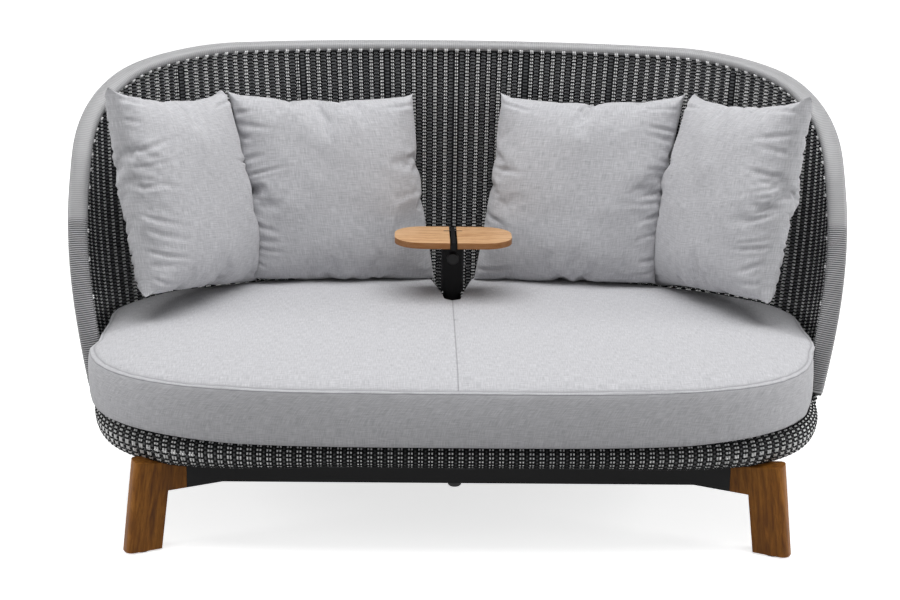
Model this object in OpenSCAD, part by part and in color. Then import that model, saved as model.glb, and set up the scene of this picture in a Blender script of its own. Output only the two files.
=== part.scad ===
// Outdoor daybed: a woven basket with a high wound rim on a low base with four
// teak legs, a seat cushion, four scatter cushions and a small teak table that
// swivels on a post. Millimetres, +Z up, floor at z = 0, seat opening to -Y.

/* [Overall] */
// Depth from the front of the seat cushion to the back of the rim
overall_depth = 1036; // [980:2:1100]
// Height of the middle of the rim at the back
rim_height = 1016; // [900:1:1050]
// How far the widest point lies behind the middle
plan_shift = 58; // [40:1:80]

// Sideways offset of the table post, the seat cushion and the cap under the rail
middle_side = -9; // [-12:1:12]

/* [Basket] */
// Width of the basket at its rolled lower edge
basket_width = 1730; // [1650:5:1790]
// Setback of the rolled edge from the front of the seat cushion
lip_setback = 22; // [15:1:40]
// Distance of the foot of the back from the back of the rim
back_lean = 55; // [30:5:80]
// Height of the middle of the rolled edge above the floor
lip_height = 252; // [245:0.5:262]
// Radius of the rolled edge
lip_radius = 31; // [29:1:34]
// Thickness of the woven wall
weave_thickness = 12; // [10:1:13]
// Outward swell of the wall between the rolled edge and the rim
wall_swell = 20; // [10:2:30]

/* [Rim] */
// How far the middle of the rim stands out past the rolled edge at each side
rim_spread = 28; // [20:1:36]
// Width of the wound rim, square to the wall
rim_band = 47; // [40:1:54]
// Height of the wound rim
rim_thickness = 26; // [22:1:30]
// Thickness of the strand that is wound on the rim tube
strand = 2; // [1.5:0.5:3]
// Wall of the rim tube
rim_tube_wall = 2; // [1.5:0.5:3]
// Angle in front of the widest point at which the rim meets the rolled edge
rim_end_angle = 11.4; // [10:0.1:12.5]
// Angle behind the widest point at which the rim reaches its full height
rim_top_angle = 32.5; // [28:0.5:40]

/* [Hidden frame] */
// Thickness of the flat bars of the seat ring
ring_bar = 8; // [6:1:10]
// Number of flat uprights in the back
upright_count = 7; // [5:1:9]
// Width of an upright
upright_width = 22; // [16:1:28]
// Thickness of an upright
upright_thickness = 5; // [4:0.5:6]

/* [Base] */
// Clearance of the base rails above the floor
rail_clearance = 139; // [125:1:142]
// Height of a base rail
rail_height = 61; // [56:1:66]
// Thickness of a base rail
rail_thickness = 30; // [26:1:36]
// Wall of the base and cross rails
rail_wall = 3; // [2:0.5:4]
// Distance of a base rail behind the rolled edge
rail_setback = 171; // [165:1:200]
// Half length of the straight stretch of a base rail
rail_half = 536; // [520:2:560]
// Length of a splayed arm
arm_length = 88; // [75:1:100]
// Plan angle of the splayed arms and legs
splay = 27; // [20:0.5:35]

/* [Legs] */
// Width of a leg along its arm
leg_width = 80; // [72:1:84]
// Thickness of a leg
leg_thickness = 45; // [42:1:52]
// Outward lean of a leg
leg_lean = 7.6; // [5:0.1:10]
// Rounding of the outer edges of a leg
leg_round = 17; // [8:1:20]
// Length of the stub from the arm to the inner corner of the leg
stub_length = 44; // [40:1:54]
// Height of the glide under a leg
glide_height = 4; // [3:0.5:6]
// Diameter of the screws and bolts of the base
bolt_diameter = 8; // [6:1:8]

/* [Deck] */
// Number of slats
slat_count = 8; // [7:1:8]
// Width of a slat
slat_width = 55; // [48:1:57]
// Thickness of a slat
slat_thickness = 15; // [12:0.5:16]
// Distance between slat middles
slat_pitch = 105; // [103:0.5:106]
// Width of a cross rail
cross_width = 40; // [34:1:44]

/* [Seat cushion] */
// Gap between the seat cushion and the widest point of the rolled edge, at each side
cushion_gap = 19; // [14:1:30]
// Height of the boxed edge
cushion_edge = 127; // [110:1:140]
// Crown of the top above its edge
cushion_crown = 27; // [5:1:30]
// Outward swell of the boxed edge
edge_swell = 6; // [2:1:6]

/* [Scatter cushions] */
// Side of a scatter cushion, corner to corner
scatter_side = 472; // [440:2:480]
// Thickness of a scatter cushion in its middle
scatter_thickness = 140; // [100:5:150]
// How far the sides draw in between the corners, as a share of the half side
scatter_draw = 0.09; // [0.02:0.01:0.14]

/* [Table] */
// Width of the table top
table_width = 288; // [240:2:300]
// Depth of the table top
table_depth = 175; // [150:1:190]
// Thickness of the table top
table_thickness = 15; // [12:0.5:20]
// Height of the table top above the floor
table_height = 593; // [580:1:620]
// Distance of the post behind the middle
post_offset = 215; // [200:1:240]
// Distance of the post from the back edge of the table top
axis_inset = 45; // [40:1:60]
// Diameter of the post
post_diameter = 45; // [40:0.5:46]
// Wall of the post
post_wall = 3; // [2:0.5:4]
// Outer diameter of the sleeve
sleeve_diameter = 56; // [54:0.5:60]
// Length of the sleeve
sleeve_length = 132; // [115:1:140]
// Wall of the sleeve
sleeve_wall = 3; // [2.5:0.5:3.5]
// Diameter of the clamp knob
knob_diameter = 30; // [24:1:34]
// Depth of the clamp knob
knob_depth = 14; // [10:1:18]
// Thickness of the fin between the two halves of the top
fin_thickness = 10; // [8:0.5:12]
// Length of the short cross fin
cross_fin_length = 46; // [40:1:60]

/* [Hidden] */
$fn = 48;

teak_leg = "#7d4a20";
teak_top = "#d39a5c";
black_metal = "#1c1c1d";
raw_metal = "#b9bcc0";
weave_dark = "#2b2d30";
strand_light = "#b6b6b9";
cloth_light = "#c3c3c8";
nylon = "#e8e6df";

fit = 0.3;
running = 0.05;
rear_lip = overall_depth / 2 - back_lean;
front_lip = overall_depth / 2 - lip_setback;
rim_width = basket_width + 2 * rim_spread;
cushion_width = basket_width - 2 * cushion_gap;
rail_offset = front_lip - rail_setback;
front_square = 3.5;
rear_round = 2.1;
rim_round = 2.07;
lip_top = lip_height + lip_radius;
lip_bore = lip_radius - weave_thickness;

// A squared ellipse in polar form about the point (0, plan_shift)
function plan_radius(a, half, front, back, n_front, n_back) =
    let (n = sin(a) < 0 ? n_front : n_back, reach = sin(a) < 0 ? front : back)
    pow(pow(abs(cos(a)) / half, n) + pow(abs(sin(a)) / reach, n), -1 / n);
function lip_plan(a) = plan_radius(a, basket_width / 2, front_lip + plan_shift,
    rear_lip - plan_shift, front_square, rear_round);
function rim_plan(a) = plan_radius(a, rim_width / 2, front_lip + plan_shift,
    overall_depth / 2 - rim_band / 2 - plan_shift, front_square, rim_round);
function at_plan(a, r, z) = [r * cos(a), plan_shift + r * sin(a), z];
function outward(a) = [cos(a), sin(a), 0];
function unit(v) = v / norm(v);
function mix(p, q, t) = p + (q - p) * t;
function clamp(x, low, high) = min(high, max(low, x));
function fold(a) = a > 90 ? 180 - a : a;
function signed_pow(x, n) = sign(x) * pow(abs(x), n);

// The rolled edge in plan: its tangent, its outward normal and places beside it
function lip_along(a) = unit(at_plan(a + 0.5, lip_plan(a + 0.5), 0)
    - at_plan(a - 0.5, lip_plan(a - 0.5), 0));
function lip_out(a) = let (t = lip_along(a)) [t[1], -t[0], 0];
function at_lip(a, r, z) = at_plan(a, lip_plan(a), z) + r * lip_out(a);
function edge_y(x, inset, side, low = 1, high = 90, steps = 24) =
    let (a = (low + high) / 2, p = at_lip(side * a, -inset, 0))
    steps == 0 ? p[1]
    : p[0] > abs(x) ? edge_y(x, inset, side, a, high, steps - 1)
    : edge_y(x, inset, side, low, a, steps - 1);
function edge_x(y, inset, low = 0, high = 90, steps = 24) =
    let (side = y < plan_shift ? -1 : 1, a = (low + high) / 2,
        p = at_lip(side * a, -inset, 0))
    steps == 0 ? p[0]
    : side * (p[1] - y) < 0 ? edge_x(y, inset, a, high, steps - 1)
    : edge_x(y, inset, low, a, steps - 1);

// Rim: level over the back, then down each side to the rolled edge
rim_low = lip_top + 2;
rim_end_inset = 20;
rim_span = rim_top_angle + rim_end_angle;
rim_early = 0.515;
rim_flare = 1.67;
function rim_rise(a) =
    sin(90 * pow(clamp((fold(a) + rim_end_angle) / rim_span, 0, 1), rim_early));
function rim_point(a) =
    let (rise = rim_rise(a), reach = sin(90 * min(1, rise * rim_flare)))
    mix(at_lip(a, -rim_end_inset, 0), at_plan(a, rim_plan(a), 0), reach)
        + [0, 0, mix(rim_low, rim_height, rise)];
function rim_tangent(a) = unit(rim_point(min(a + 0.2, 180 + rim_end_angle))
    - rim_point(max(a - 0.2, -rim_end_angle)));
function rim_side(a) = let (t = rim_tangent(a), o = outward(a)) unit(o - t * (t * o));
function rim_up(a) = cross(rim_side(a), rim_tangent(a));

// Angles of the sections, closer together where the rim is steep
side_steps = 14;
back_steps = 9;
side_angles = [for (k = [0 : side_steps])
    rim_span * pow(k / side_steps, 1.75) - rim_end_angle];
back_angles = [for (k = [1 : back_steps])
    mix(rim_top_angle, 90, k / back_steps)];
half_angles = concat(side_angles, back_angles);
rim_angles = concat(half_angles,
    [for (k = [len(half_angles) - 2 : -1 : 0]) 180 - half_angles[k]]);
front_steps = 26;
front_angles = [for (k = [1 : front_steps - 1]) let (u = k / front_steps)
    mix(180 + rim_end_angle, 360 - rim_end_angle, u + 0.035 * sin(720 * u))];
basket_angles = concat(rim_angles, front_angles);

// Woven wall: its outer face from the rolled edge (s = 0) to its top (s = 1)
function has_rim(a) = a <= 180 + rim_end_angle;
function wall_top(a) = has_rim(a)
    ? rim_point(a) - (rim_thickness / 2 + fit) * rim_up(a)
    : at_lip(a, -lip_radius, lip_top);
function wall_share(a) = has_rim(a)
    ? clamp((rim_point(a)[2] - rim_low) / 200, 0, 1) : 0;
function wall_point(a, s) =
    let (h = wall_share(a), f = mix(sin(90 * s), s, h),
        g = mix(1 - sqrt(max(0, 1 - f * f)), f * f, h),
        foot = at_plan(a, lip_plan(a), lip_height), top = wall_top(a),
        swell = wall_swell * clamp((top[2] - lip_top) / 300, 0, 1) * sin(180 * f))
    [mix(foot[0], top[0], g), mix(foot[1], top[1], g), mix(foot[2], top[2], f)]
        + swell * lip_out(a);
function wall_normal(a, s) = unit(cross(lip_along(a),
    wall_point(a, min(1, s + 0.02)) - wall_point(a, max(0, s - 0.02))));
function roll_point(a, r, b) =
    at_lip(a, r * cos(b) - lip_radius, lip_height + r * sin(b));

// Faces between neighbouring rings of n points each
function band(first, second, n) = [for (j = [0 : n - 1])
    each [[first + j, first + (j + 1) % n, second + (j + 1) % n],
        [first + j, second + (j + 1) % n, second + j]]];
function bands(rings, n) = [for (i = [0 : rings - 2]) each band(i * n, (i + 1) * n, n)];
function flipped(faces) = [for (f = faces) [f[2], f[1], f[0]]];
function shifted(faces, by) = [for (f = faces) [for (i = f) i + by]];
function fan(first, n) = [for (j = [1 : n - 2]) [first, first + j + 1, first + j]];

module swept_loop(rings) {
    n = len(rings[0]);
    polyhedron(points = [for (r = rings) each r],
        faces = concat(bands(len(rings), n), band((len(rings) - 1) * n, 0, n)));
}
module swept_bar(rings) {
    n = len(rings[0]);
    last = (len(rings) - 1) * n;
    polyhedron(points = [for (r = rings) each r],
        faces = concat(bands(len(rings), n), fan(0, n), flipped(fan(last, n))));
}
module swept_sleeve(outer, inner) {
    n = len(outer[0]);
    count = len(outer) * n;
    last = count - n;
    polyhedron(points = concat([for (r = outer) each r], [for (r = inner) each r]),
        faces = concat(bands(len(outer), n), flipped(shifted(bands(len(outer), n), count)),
            band(count, 0, n), flipped(band(count + last, last, n))));
}

// Mirrored copies
module flip(axis, on) {
    if (on) mirror(axis) children();
    else children();
}
module at_corner(left, rear) flip([1, 0, 0], left) flip([0, 1, 0], rear)
    translate([rail_half + arm_length * cos(splay),
        -rail_offset - arm_length * sin(splay), rail_clearance])
        rotate(-splay) children();
module at_all_corners() for (left = [false, true]) for (rear = [false, true])
    at_corner(left, rear) children();

// Base rails: straight, with an arm splayed out at each end
rail_top = rail_clearance + rail_height;
rail_corner = tan(splay / 2) / 2;
function rail_half_outline(t, longer) = let (end = arm_length + longer,
        tip = [rail_half + end * cos(splay), -end * sin(splay)],
        side = [sin(splay), cos(splay)] * t / 2)
    [[rail_half + t * rail_corner, t / 2], tip + side, tip - side,
        [rail_half - t * rail_corner, -t / 2]];
module rail_form(thickness, height, longer) {
    half = rail_half_outline(thickness, longer);
    linear_extrude(height) polygon(concat(half,
        [for (i = [3 : -1 : 0]) [-half[i][0], half[i][1]]]));
}
tenon_reach = 56;
tenon_height = 50;
tenon_thickness = rail_thickness - 2 * rail_wall - 2 * fit;
bolt_gap = 0.1;
leg_bolt_places = [18, 42];
arm_bolt_places = [-18, -42];
bolt_skin = 8;
module cross_hole(x, from, to) translate([x, from, rail_height / 2])
    rotate([-90, 0, 0]) cylinder(d = bolt_diameter + 2 * bolt_gap, h = to - from);
module base_rail() {
    difference() {
        translate([0, -rail_offset, rail_clearance])
            rail_form(rail_thickness, rail_height, 0);
        translate([0, -rail_offset, rail_clearance + rail_wall])
            rail_form(rail_thickness - 2 * rail_wall, rail_height - 2 * rail_wall, 5);
        for (left = [false, true]) at_corner(left, false)
            for (x = arm_bolt_places) cross_hole(x, 0, rail_thickness / 2 + 1);
        for (x = cross_places) translate([x, -rail_offset, rail_top - rail_wall - 1])
            cylinder(d = bolt_diameter + 2 * bolt_gap, h = rail_wall + 2);
    }
}
plug_diameter = 30;
plug_height = 10;
plug_stem = 10;
module base_rail_front() color(black_metal) difference() {
    base_rail();
    translate([middle_side, -rail_offset, rail_clearance - 1])
        cylinder(d = plug_stem + 2 * bolt_gap, h = rail_wall + 2);
}
module base_rail_rear() color(black_metal) mirror([0, 1, 0]) base_rail();
module rail_plug() color(black_metal)
    translate([middle_side, -rail_offset, rail_clearance]) {
        rotate_extrude() polygon([[0, -plug_height], [plug_diameter / 2 - 3, -plug_height],
            [plug_diameter / 2, 3 - plug_height], [plug_diameter / 2, 0], [0, 0]]);
        cylinder(d = plug_stem, h = rail_wall + 3);
    }

// Teak legs: a leaning slab with a stub that takes the tenon of the arm
glide_pin = 6;
glide_pin_height = 12;
glide_diameter = 34;
foot_start = stub_length + rail_clearance * tan(leg_lean);
glide_place = foot_start + leg_width / 2;
glide_side = (leg_thickness - rail_thickness) / 2;
leg_face = rail_thickness / 2;
leg_back = leg_thickness - leg_face;
module leg_section() {
    translate([-4 * leg_width, -leg_face])
        square([5 * leg_width - leg_round, leg_thickness]);
    translate([0, leg_round - leg_face])
        square([leg_width, leg_thickness - 2 * leg_round]);
    for (y = [leg_round - leg_face, leg_back - leg_round])
        translate([leg_width - leg_round, y])
            circle(r = leg_round);
}
leg_foot = glide_height - rail_clearance;
leg_slope = tan(leg_lean);
module leg() color(teak_leg) difference() {
    intersection() {
        translate([foot_start, 0, -rail_clearance]) rotate([0, -leg_lean, 0])
            translate([0, 0, -leg_width]) linear_extrude(rail_top + 2 * leg_width)
                leg_section();
        translate([0, leg_thickness, 0]) rotate([90, 0, 0])
            linear_extrude(2 * leg_thickness) polygon([[fit, rail_height], [fit, 0],
                [stub_length, 0], [stub_length - leg_foot * leg_slope, leg_foot],
                [4 * leg_width, leg_foot], [4 * leg_width, rail_height]]);
    }
    translate([-1, -tenon_thickness / 2 - fit, (rail_height - tenon_height) / 2 - fit])
        cube([tenon_reach + fit + 1, tenon_thickness + 2 * fit, tenon_height + 2 * fit]);
    for (x = leg_bolt_places)
        cross_hole(x, bolt_skin - leg_face, leg_back + 1);
    translate([glide_place, glide_side, -rail_clearance])
        cylinder(d = glide_pin + 2 * bolt_gap, h = glide_height + glide_pin_height + 1);
}
module leg_front_left() at_corner(true, false) leg();
module leg_front_right() at_corner(false, false) leg();
module leg_rear_left() at_corner(true, true) leg();
module leg_rear_right() at_corner(false, true) leg();
module leg_tenons() color(raw_metal) at_all_corners() difference() {
    translate([-tenon_reach, -tenon_thickness / 2, (rail_height - tenon_height) / 2])
        cube([2 * tenon_reach, tenon_thickness, tenon_height]);
    for (x = concat(leg_bolt_places, arm_bolt_places))
        cross_hole(x, -tenon_thickness, tenon_thickness);
}
module cross_bolt(x, surface, length) translate([x, surface, rail_height / 2])
    rotate([90, 0, 0]) {
        cylinder(d = bolt_diameter, h = length);
        translate([0, 0, -bolt_diameter / 2])
            cylinder(d1 = bolt_diameter, d2 = 1.75 * bolt_diameter, h = bolt_diameter / 2);
    }
module leg_bolts() color(raw_metal) at_all_corners() {
    for (x = leg_bolt_places)
        cross_bolt(x, leg_back, leg_thickness - bolt_skin - fit);
    for (x = arm_bolt_places)
        cross_bolt(x, rail_thickness / 2, rail_thickness / 2 + tenon_thickness / 2);
}
module leg_glides() color(black_metal) at_all_corners()
    translate([glide_place, glide_side, -rail_clearance]) {
        cylinder(d = glide_diameter, h = glide_height);
        cylinder(d = glide_pin, h = glide_height + glide_pin_height);
    }

// Cross rails: hollow, coped at both ends to fit over and inside the seat ring
cross_height = lip_height + lip_bore - rail_top - 2;
cross_top = rail_top + cross_height;
post_rail_width = 70;
cope_depth = lip_radius + 20;
cross_end = 16;
cross_spacing = 250;
cross_outer = rail_half - cross_end;
cross_inner = cross_outer - cross_spacing;
cross_places = [-cross_outer, -cross_inner, 0, cross_inner, cross_outer];
function cross_size(x) = x == 0 ? post_rail_width : cross_width;
ring_inset = lip_radius + ring_bar / 2 - 0.5;
module cross_rail(x) {
    width = cross_size(x);
    reach = abs(x) + width / 2;
    front = edge_y(reach, ring_inset, -1);
    back = edge_y(reach, ring_inset, 1);
    cope = lip_height - lip_bore - rail_top + 2;
    difference() {
        translate([x - width / 2, front, rail_top])
            cube([width, back - front, cross_height]);
        translate([x - width / 2 + rail_wall, front - 1, rail_top + rail_wall])
            cube([width - 2 * rail_wall, back - front + 2, cross_height - 2 * rail_wall]);
        for (end = [[front - 1, 0], [back + 1 - cope_depth, 0]])
            translate([x - width / 2 - 1, end[0], rail_top - 1])
                cube([width + 2, cope_depth, cope + 1]);
        for (side = [-1, 1]) translate([x, side * rail_offset, rail_top - 1])
            cylinder(d = bolt_diameter + 2 * bolt_gap, h = rail_wall + 2);
        if (x == 0) post_holes();
    }
}
module cross_rails() color(raw_metal) for (x = cross_places) cross_rail(x);
module frame_bolts() color(raw_metal) for (x = cross_places) for (side = [-1, 1])
    translate([x, side * rail_offset, rail_top]) {
        translate([0, 0, -rail_wall - bolt_diameter])
            cylinder(d = bolt_diameter, h = 2 * rail_wall + bolt_diameter + 1);
        translate([0, 0, rail_wall])
            cylinder(d = 2 * bolt_diameter, h = bolt_diameter * 0.6);
        translate([0, 0, -rail_wall - bolt_diameter * 0.8])
            cylinder(d = 2 * bolt_diameter, h = bolt_diameter * 0.8);
    }

// Slats, spaced so that the post comes up between two of them
deck_top = cross_top + slat_thickness;
module seat_slats() color(raw_metal) for (k = [0 : slat_count - 1]) {
    y = post_offset + slat_pitch * (1.5 - k);
    reach = min(edge_x(y - slat_width / 2, ring_inset + 6),
        edge_x(y + slat_width / 2, ring_inset + 6));
    translate([-reach, y - slat_width / 2, cross_top])
        cube([2 * reach, slat_width, slat_thickness]);
}

// Flat bar ring in the rolled edge, and the flat uprights woven into the back
ring_half = sqrt(lip_bore * lip_bore - ring_bar * ring_bar / 4) - fit;
module seat_ring() color(raw_metal) swept_loop([for (a = basket_angles)
    [for (c = [[-1, -1], [1, -1], [1, 1], [-1, 1]])
        at_lip(a, c[0] * ring_bar / 2 - lip_radius, lip_height + c[1] * ring_half)]]);
upright_steps = 9;
upright_depth = weave_thickness - upright_thickness / 2;
foot_inset = lip_radius - ring_bar / 2 - fit - upright_thickness / 2 - upright_depth;
function upright_center(a, s) = wall_point(a, s)
    - (upright_depth + foot_inset * pow(1 - s, 12)) * wall_normal(a, s);
function upright_ring(a, s) = let (n = wall_normal(a, s), w = lip_along(a))
    [for (c = [[-1, -1], [-1, 1], [1, 1], [1, -1]])
        upright_center(a, s) + c[0] * upright_thickness / 2 * n
            + c[1] * upright_width / 2 * w];
module back_uprights() color(raw_metal) for (k = [0 : upright_count - 1])
    swept_bar([for (i = [0 : upright_steps])
        upright_ring(mix(22, 158, k / (upright_count - 1)),
            0.985 * pow(i / upright_steps, 1.4))]);

// Rim tube and the strand wound on it, as flat ovals with their width to the wall
rim_sides = 10;
function rim_ring(a, width, height) = [for (k = [0 : rim_sides - 1])
    let (b = 360 * k / rim_sides)
    rim_point(a) + width / 2 * signed_pow(cos(b), 0.85) * rim_side(a)
        + height / 2 * signed_pow(sin(b), 0.85) * rim_up(a)];
function lowered(ring, middle) = let (n = len(ring),
    c = [for (k = [0 : 1]) ring[0][k] / 2 + ring[n / 2][k] / 2])
    [for (p = ring) [middle[0] + 0.55 * (p[0] - c[0]),
        middle[1] + 0.55 * (p[1] - c[1]), middle[2]]];
function rim_rings(width, height) = [for (a = rim_angles) rim_ring(a, width, height)];
function down_to(rings, z) =
    concat([lowered(rings[0], at_lip(-rim_end_angle, -lip_radius, z))], rings,
        [lowered(rings[len(rings) - 1], at_lip(180 + rim_end_angle, -lip_radius, z))]);
tube_width = rim_band - 2 * strand - 2 * fit;
tube_height = rim_thickness - 2 * strand - 2 * fit;
ring_top = lip_height + ring_half;
module rim_tube() color(raw_metal) swept_sleeve(
    down_to(rim_rings(tube_width, tube_height), ring_top + fit),
    down_to(rim_rings(tube_width - 2 * rim_tube_wall,
        tube_height - 2 * rim_tube_wall), ring_top + fit));
module rim_binding() color(strand_light) swept_sleeve(rim_rings(rim_band, rim_thickness),
    rim_rings(rim_band - 2 * strand, rim_thickness - 2 * strand));

// Woven basket: one sheet that is rolled round the seat ring and rises to the rim
roll_angles = [-100, -75, -50, -25];
wall_steps = 7;
function basket_section(a) = concat(
    [for (b = roll_angles) roll_point(a, lip_radius, b)],
    [for (k = [0 : wall_steps]) wall_point(a, k / wall_steps)],
    [for (k = [wall_steps : -1 : 0]) let (s = k / wall_steps)
        wall_point(a, s) - weave_thickness * wall_normal(a, s)],
    [for (k = [len(roll_angles) - 1 : -1 : 0]) roll_point(a, lip_bore, roll_angles[k])]);
module woven_basket() color(weave_dark)
    swept_loop([for (a = basket_angles) basket_section(a)]);

// Table post, held in the middle cross rail by a pin
post_foot = rail_top + rail_wall + fit;
plate_thickness = 4;
top_bottom = table_height - table_thickness;
sleeve_top = top_bottom - plate_thickness;
sleeve_bottom = sleeve_top - sleeve_length;
post_top = sleeve_top - 14;
cap_head = 3;
pin_height = rail_top + cross_height / 2;
pin_diameter = 8;
module at_post(z) translate([middle_side, post_offset, z]) children();
module pin_hole() at_post(pin_height) rotate([0, 90, 0])
    cylinder(d = pin_diameter + 2 * running, h = 2 * post_rail_width, center = true);
module post_holes() {
    at_post(cross_top - rail_wall - 1)
        cylinder(d = post_diameter + 2 * running, h = rail_wall + 2);
    pin_hole();
}
module table_post() color(black_metal) difference() {
    at_post(post_foot) cylinder(d = post_diameter, h = post_top - post_foot);
    at_post(post_foot - 1)
        cylinder(d = post_diameter - 2 * post_wall, h = post_top - post_foot + 2);
    pin_hole();
}
module post_pin() color(raw_metal) translate([0, post_offset, pin_height])
    rotate([0, 90, 0]) cylinder(d = pin_diameter, h = post_rail_width, center = true);
module post_cap() color(nylon) at_post(post_top) {
    cylinder(d = post_diameter, h = cap_head);
    translate([0, 0, -2 * cap_head])
        cylinder(d = post_diameter - 2 * post_wall - 2 * running, h = 2 * cap_head + 1);
}

// Sleeve that turns and slides on two nylon bushes, with its clamp
sleeve_bore = sleeve_diameter - 2 * sleeve_wall;
bush_length = 15;
shoulder = 2;
upper_shoulder = sleeve_top - 36;
clamp_height = sleeve_top - 43;
clamp_boss = 20;
boss_reach = sleeve_diameter / 2 + 2;
module bush(z) color(nylon) at_post(z) difference() {
    cylinder(d = sleeve_bore - 2 * running, h = bush_length);
    translate([0, 0, -1]) cylinder(d = post_diameter + 2 * running, h = bush_length + 2);
}
module bush_lower() bush(sleeve_bottom + shoulder + fit);
module bush_upper() bush(upper_shoulder + shoulder + fit);
module at_clamp() at_post(clamp_height) rotate([90, 0, 0]) children();
module swivel_sleeve() color(black_metal) difference() {
    union() {
        at_post(sleeve_bottom) cylinder(d = sleeve_diameter, h = sleeve_length);
        at_clamp() cylinder(d = clamp_boss, h = boss_reach);
    }
    at_post(sleeve_bottom - 1)
        cylinder(d = post_diameter + 4 * fit, h = sleeve_length + 2);
    at_post(sleeve_bottom + shoulder)
        cylinder(d = sleeve_bore, h = upper_shoulder - sleeve_bottom - shoulder);
    at_post(upper_shoulder + shoulder) cylinder(d = sleeve_bore, h = sleeve_length);
    at_clamp() cylinder(d = bolt_diameter + 2 * running, h = sleeve_diameter);
}
module clamp_screw() color(raw_metal) at_clamp()
    translate([0, 0, post_diameter / 2 + fit])
        cylinder(d = bolt_diameter, h = boss_reach + knob_depth / 2 - post_diameter / 2);
module clamp_knob() color(black_metal) at_clamp()
    translate([0, 0, boss_reach + fit]) difference() {
        rotate_extrude() polygon([[0, 0], [knob_diameter / 2 - 1, 0],
            [knob_diameter / 2, 1], [knob_diameter / 2, knob_depth - 2],
            [knob_diameter / 2 - 2, knob_depth], [0, knob_depth]]);
        translate([0, 0, -1])
            cylinder(d = bolt_diameter + 2 * running, h = knob_depth / 2 + 1 + running);
    }

// Bracket: a plug and plate under the top, and two crossed fins flush with it
top_gap = fin_thickness + 8;
cross_fin_thickness = 6;
plate_width = 96;
plate_front = 62;
plate_back = 30;
screw_diameter = 4;
screw_places = [[-36, -46], [-36, 16], [36, -46], [36, 16]];
plug_bottom = post_top + cap_head + fit;
module table_bracket() color(black_metal) difference() {
    union() {
        at_post(plug_bottom)
            cylinder(d = sleeve_bore - 2 * running, h = sleeve_top - plug_bottom);
        at_post(sleeve_top) translate([-plate_width / 2, -plate_front, 0])
            cube([plate_width, plate_front + plate_back, plate_thickness]);
        at_post(sleeve_top)
            translate([-fin_thickness / 2, axis_inset - table_depth, 0])
                cube([fin_thickness, table_depth, plate_thickness + table_thickness]);
        at_post(sleeve_top)
            translate([-cross_fin_length / 2, -cross_fin_thickness / 2, 0])
                cube([cross_fin_length, cross_fin_thickness,
                    plate_thickness + table_thickness]);
    }
    for (p = screw_places) at_post(sleeve_top - 1) translate([p[0], p[1], 0])
        cylinder(d = screw_diameter + 2 * bolt_gap, h = plate_thickness + 2);
}
module bracket_screws() color(raw_metal) for (p = screw_places)
    at_post(sleeve_top) translate([p[0], p[1], 0]) {
        translate([0, 0, -screw_diameter / 2])
            cylinder(d = 2 * screw_diameter, h = screw_diameter / 2);
        cylinder(d = screw_diameter, h = plate_thickness + table_thickness * 0.6);
    }
corner_round = 70;
module top_outline() {
    inner = [table_width - 2 * corner_round, table_depth - 2 * corner_round];
    translate([-inner[0] / 2, -table_depth / 2]) square([inner[0], table_depth]);
    translate([-table_width / 2, -inner[1] / 2]) square([table_width, inner[1]]);
    for (x = [-1, 1]) for (y = [-1, 1])
        translate([x * inner[0] / 2, y * inner[1] / 2]) circle(r = corner_round, $fn = 72);
}
module table_half() color(teak_top) at_post(top_bottom) difference() {
    linear_extrude(table_thickness) difference() {
        translate([0, axis_inset - table_depth / 2]) top_outline();
        translate([-table_width, -table_depth])
            square([table_width + top_gap / 2, 2 * table_depth]);
        translate([0, -cross_fin_thickness / 2 - fit])
            square([cross_fin_length / 2 + fit, cross_fin_thickness + 2 * fit]);
    }
    for (p = screw_places) if (p[0] > 0) translate([p[0], p[1], -1])
        cylinder(d = screw_diameter + 2 * bolt_gap, h = table_thickness * 0.6 + 1 + fit);
}
module table_half_right() table_half();
module table_half_left() translate([2 * middle_side, 0, 0]) mirror([1, 0, 0])
    table_half();

// Seat cushion: boxed edge, crowned top, and a notch at the back round the post
cushion_bottom = deck_top + fit;
cushion_square = 3.8;
cushion_back = rear_lip - weave_thickness - 14;
notch_half = post_diameter / 2 + 5;
notch_bottom = post_offset - post_diameter / 2 - 8;
notch_mouth = 72;
cushion_middle = [middle_side, -43];
function rim_clearance(level) =
    mix(rim_end_inset + rim_band / 2 + 8.5, 18, level * level) + edge_swell;
function dip(a) = asin(-sin(a));
tuck_start = rim_end_angle + 2.6;
tuck_end = tuck_start + 3.5;
function tuck(a) = clamp((dip(a) - tuck_start) / (tuck_end - tuck_start), 0, 1);
function cushion_plan(a, level) = let (free = plan_radius(a, cushion_width / 2 - edge_swell,
    overall_depth / 2 - edge_swell + plan_shift, cushion_back - plan_shift,
    cushion_square, 2.2)) mix(min(free, lip_plan(a) - rim_clearance(level)), free,
    tuck(a));
mouth_angle = asin(notch_mouth / cushion_plan(90, 0));
side_count = 18;
front_count = 26;
cushion_angles = concat(
    [for (k = [0 : side_count]) mix(90 + mouth_angle, 180 + tuck_start, k / side_count)],
    [for (k = [0 : front_count]) mix(180 + tuck_end, 360 - tuck_end, k / front_count)],
    [for (k = [0 : side_count]) mix(360 - tuck_start, 450 - mouth_angle, k / side_count)]);
function cushion_outline(level) = concat(
    [for (a = cushion_angles) let (p = at_plan(a, cushion_plan(a, level), 0))
        [p[0] + middle_side * tuck(a), p[1]]],
    [for (p = [[notch_half + 12, mix(notch_bottom, cushion_back, 0.4)],
        [notch_half, notch_bottom + 12], [notch_half - 10, notch_bottom],
        [10 - notch_half, notch_bottom], [-notch_half, notch_bottom + 12],
        [-notch_half - 12, mix(notch_bottom, cushion_back, 0.4)]])
        [p[0] + middle_side, p[1]]]);
function cushion_ring(share, swell, level, z) = [for (p = cushion_outline(level))
    let (d = p - cushion_middle, q = cushion_middle + d * share + unit(d) * swell)
    [q[0], q[1], z]];
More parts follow.
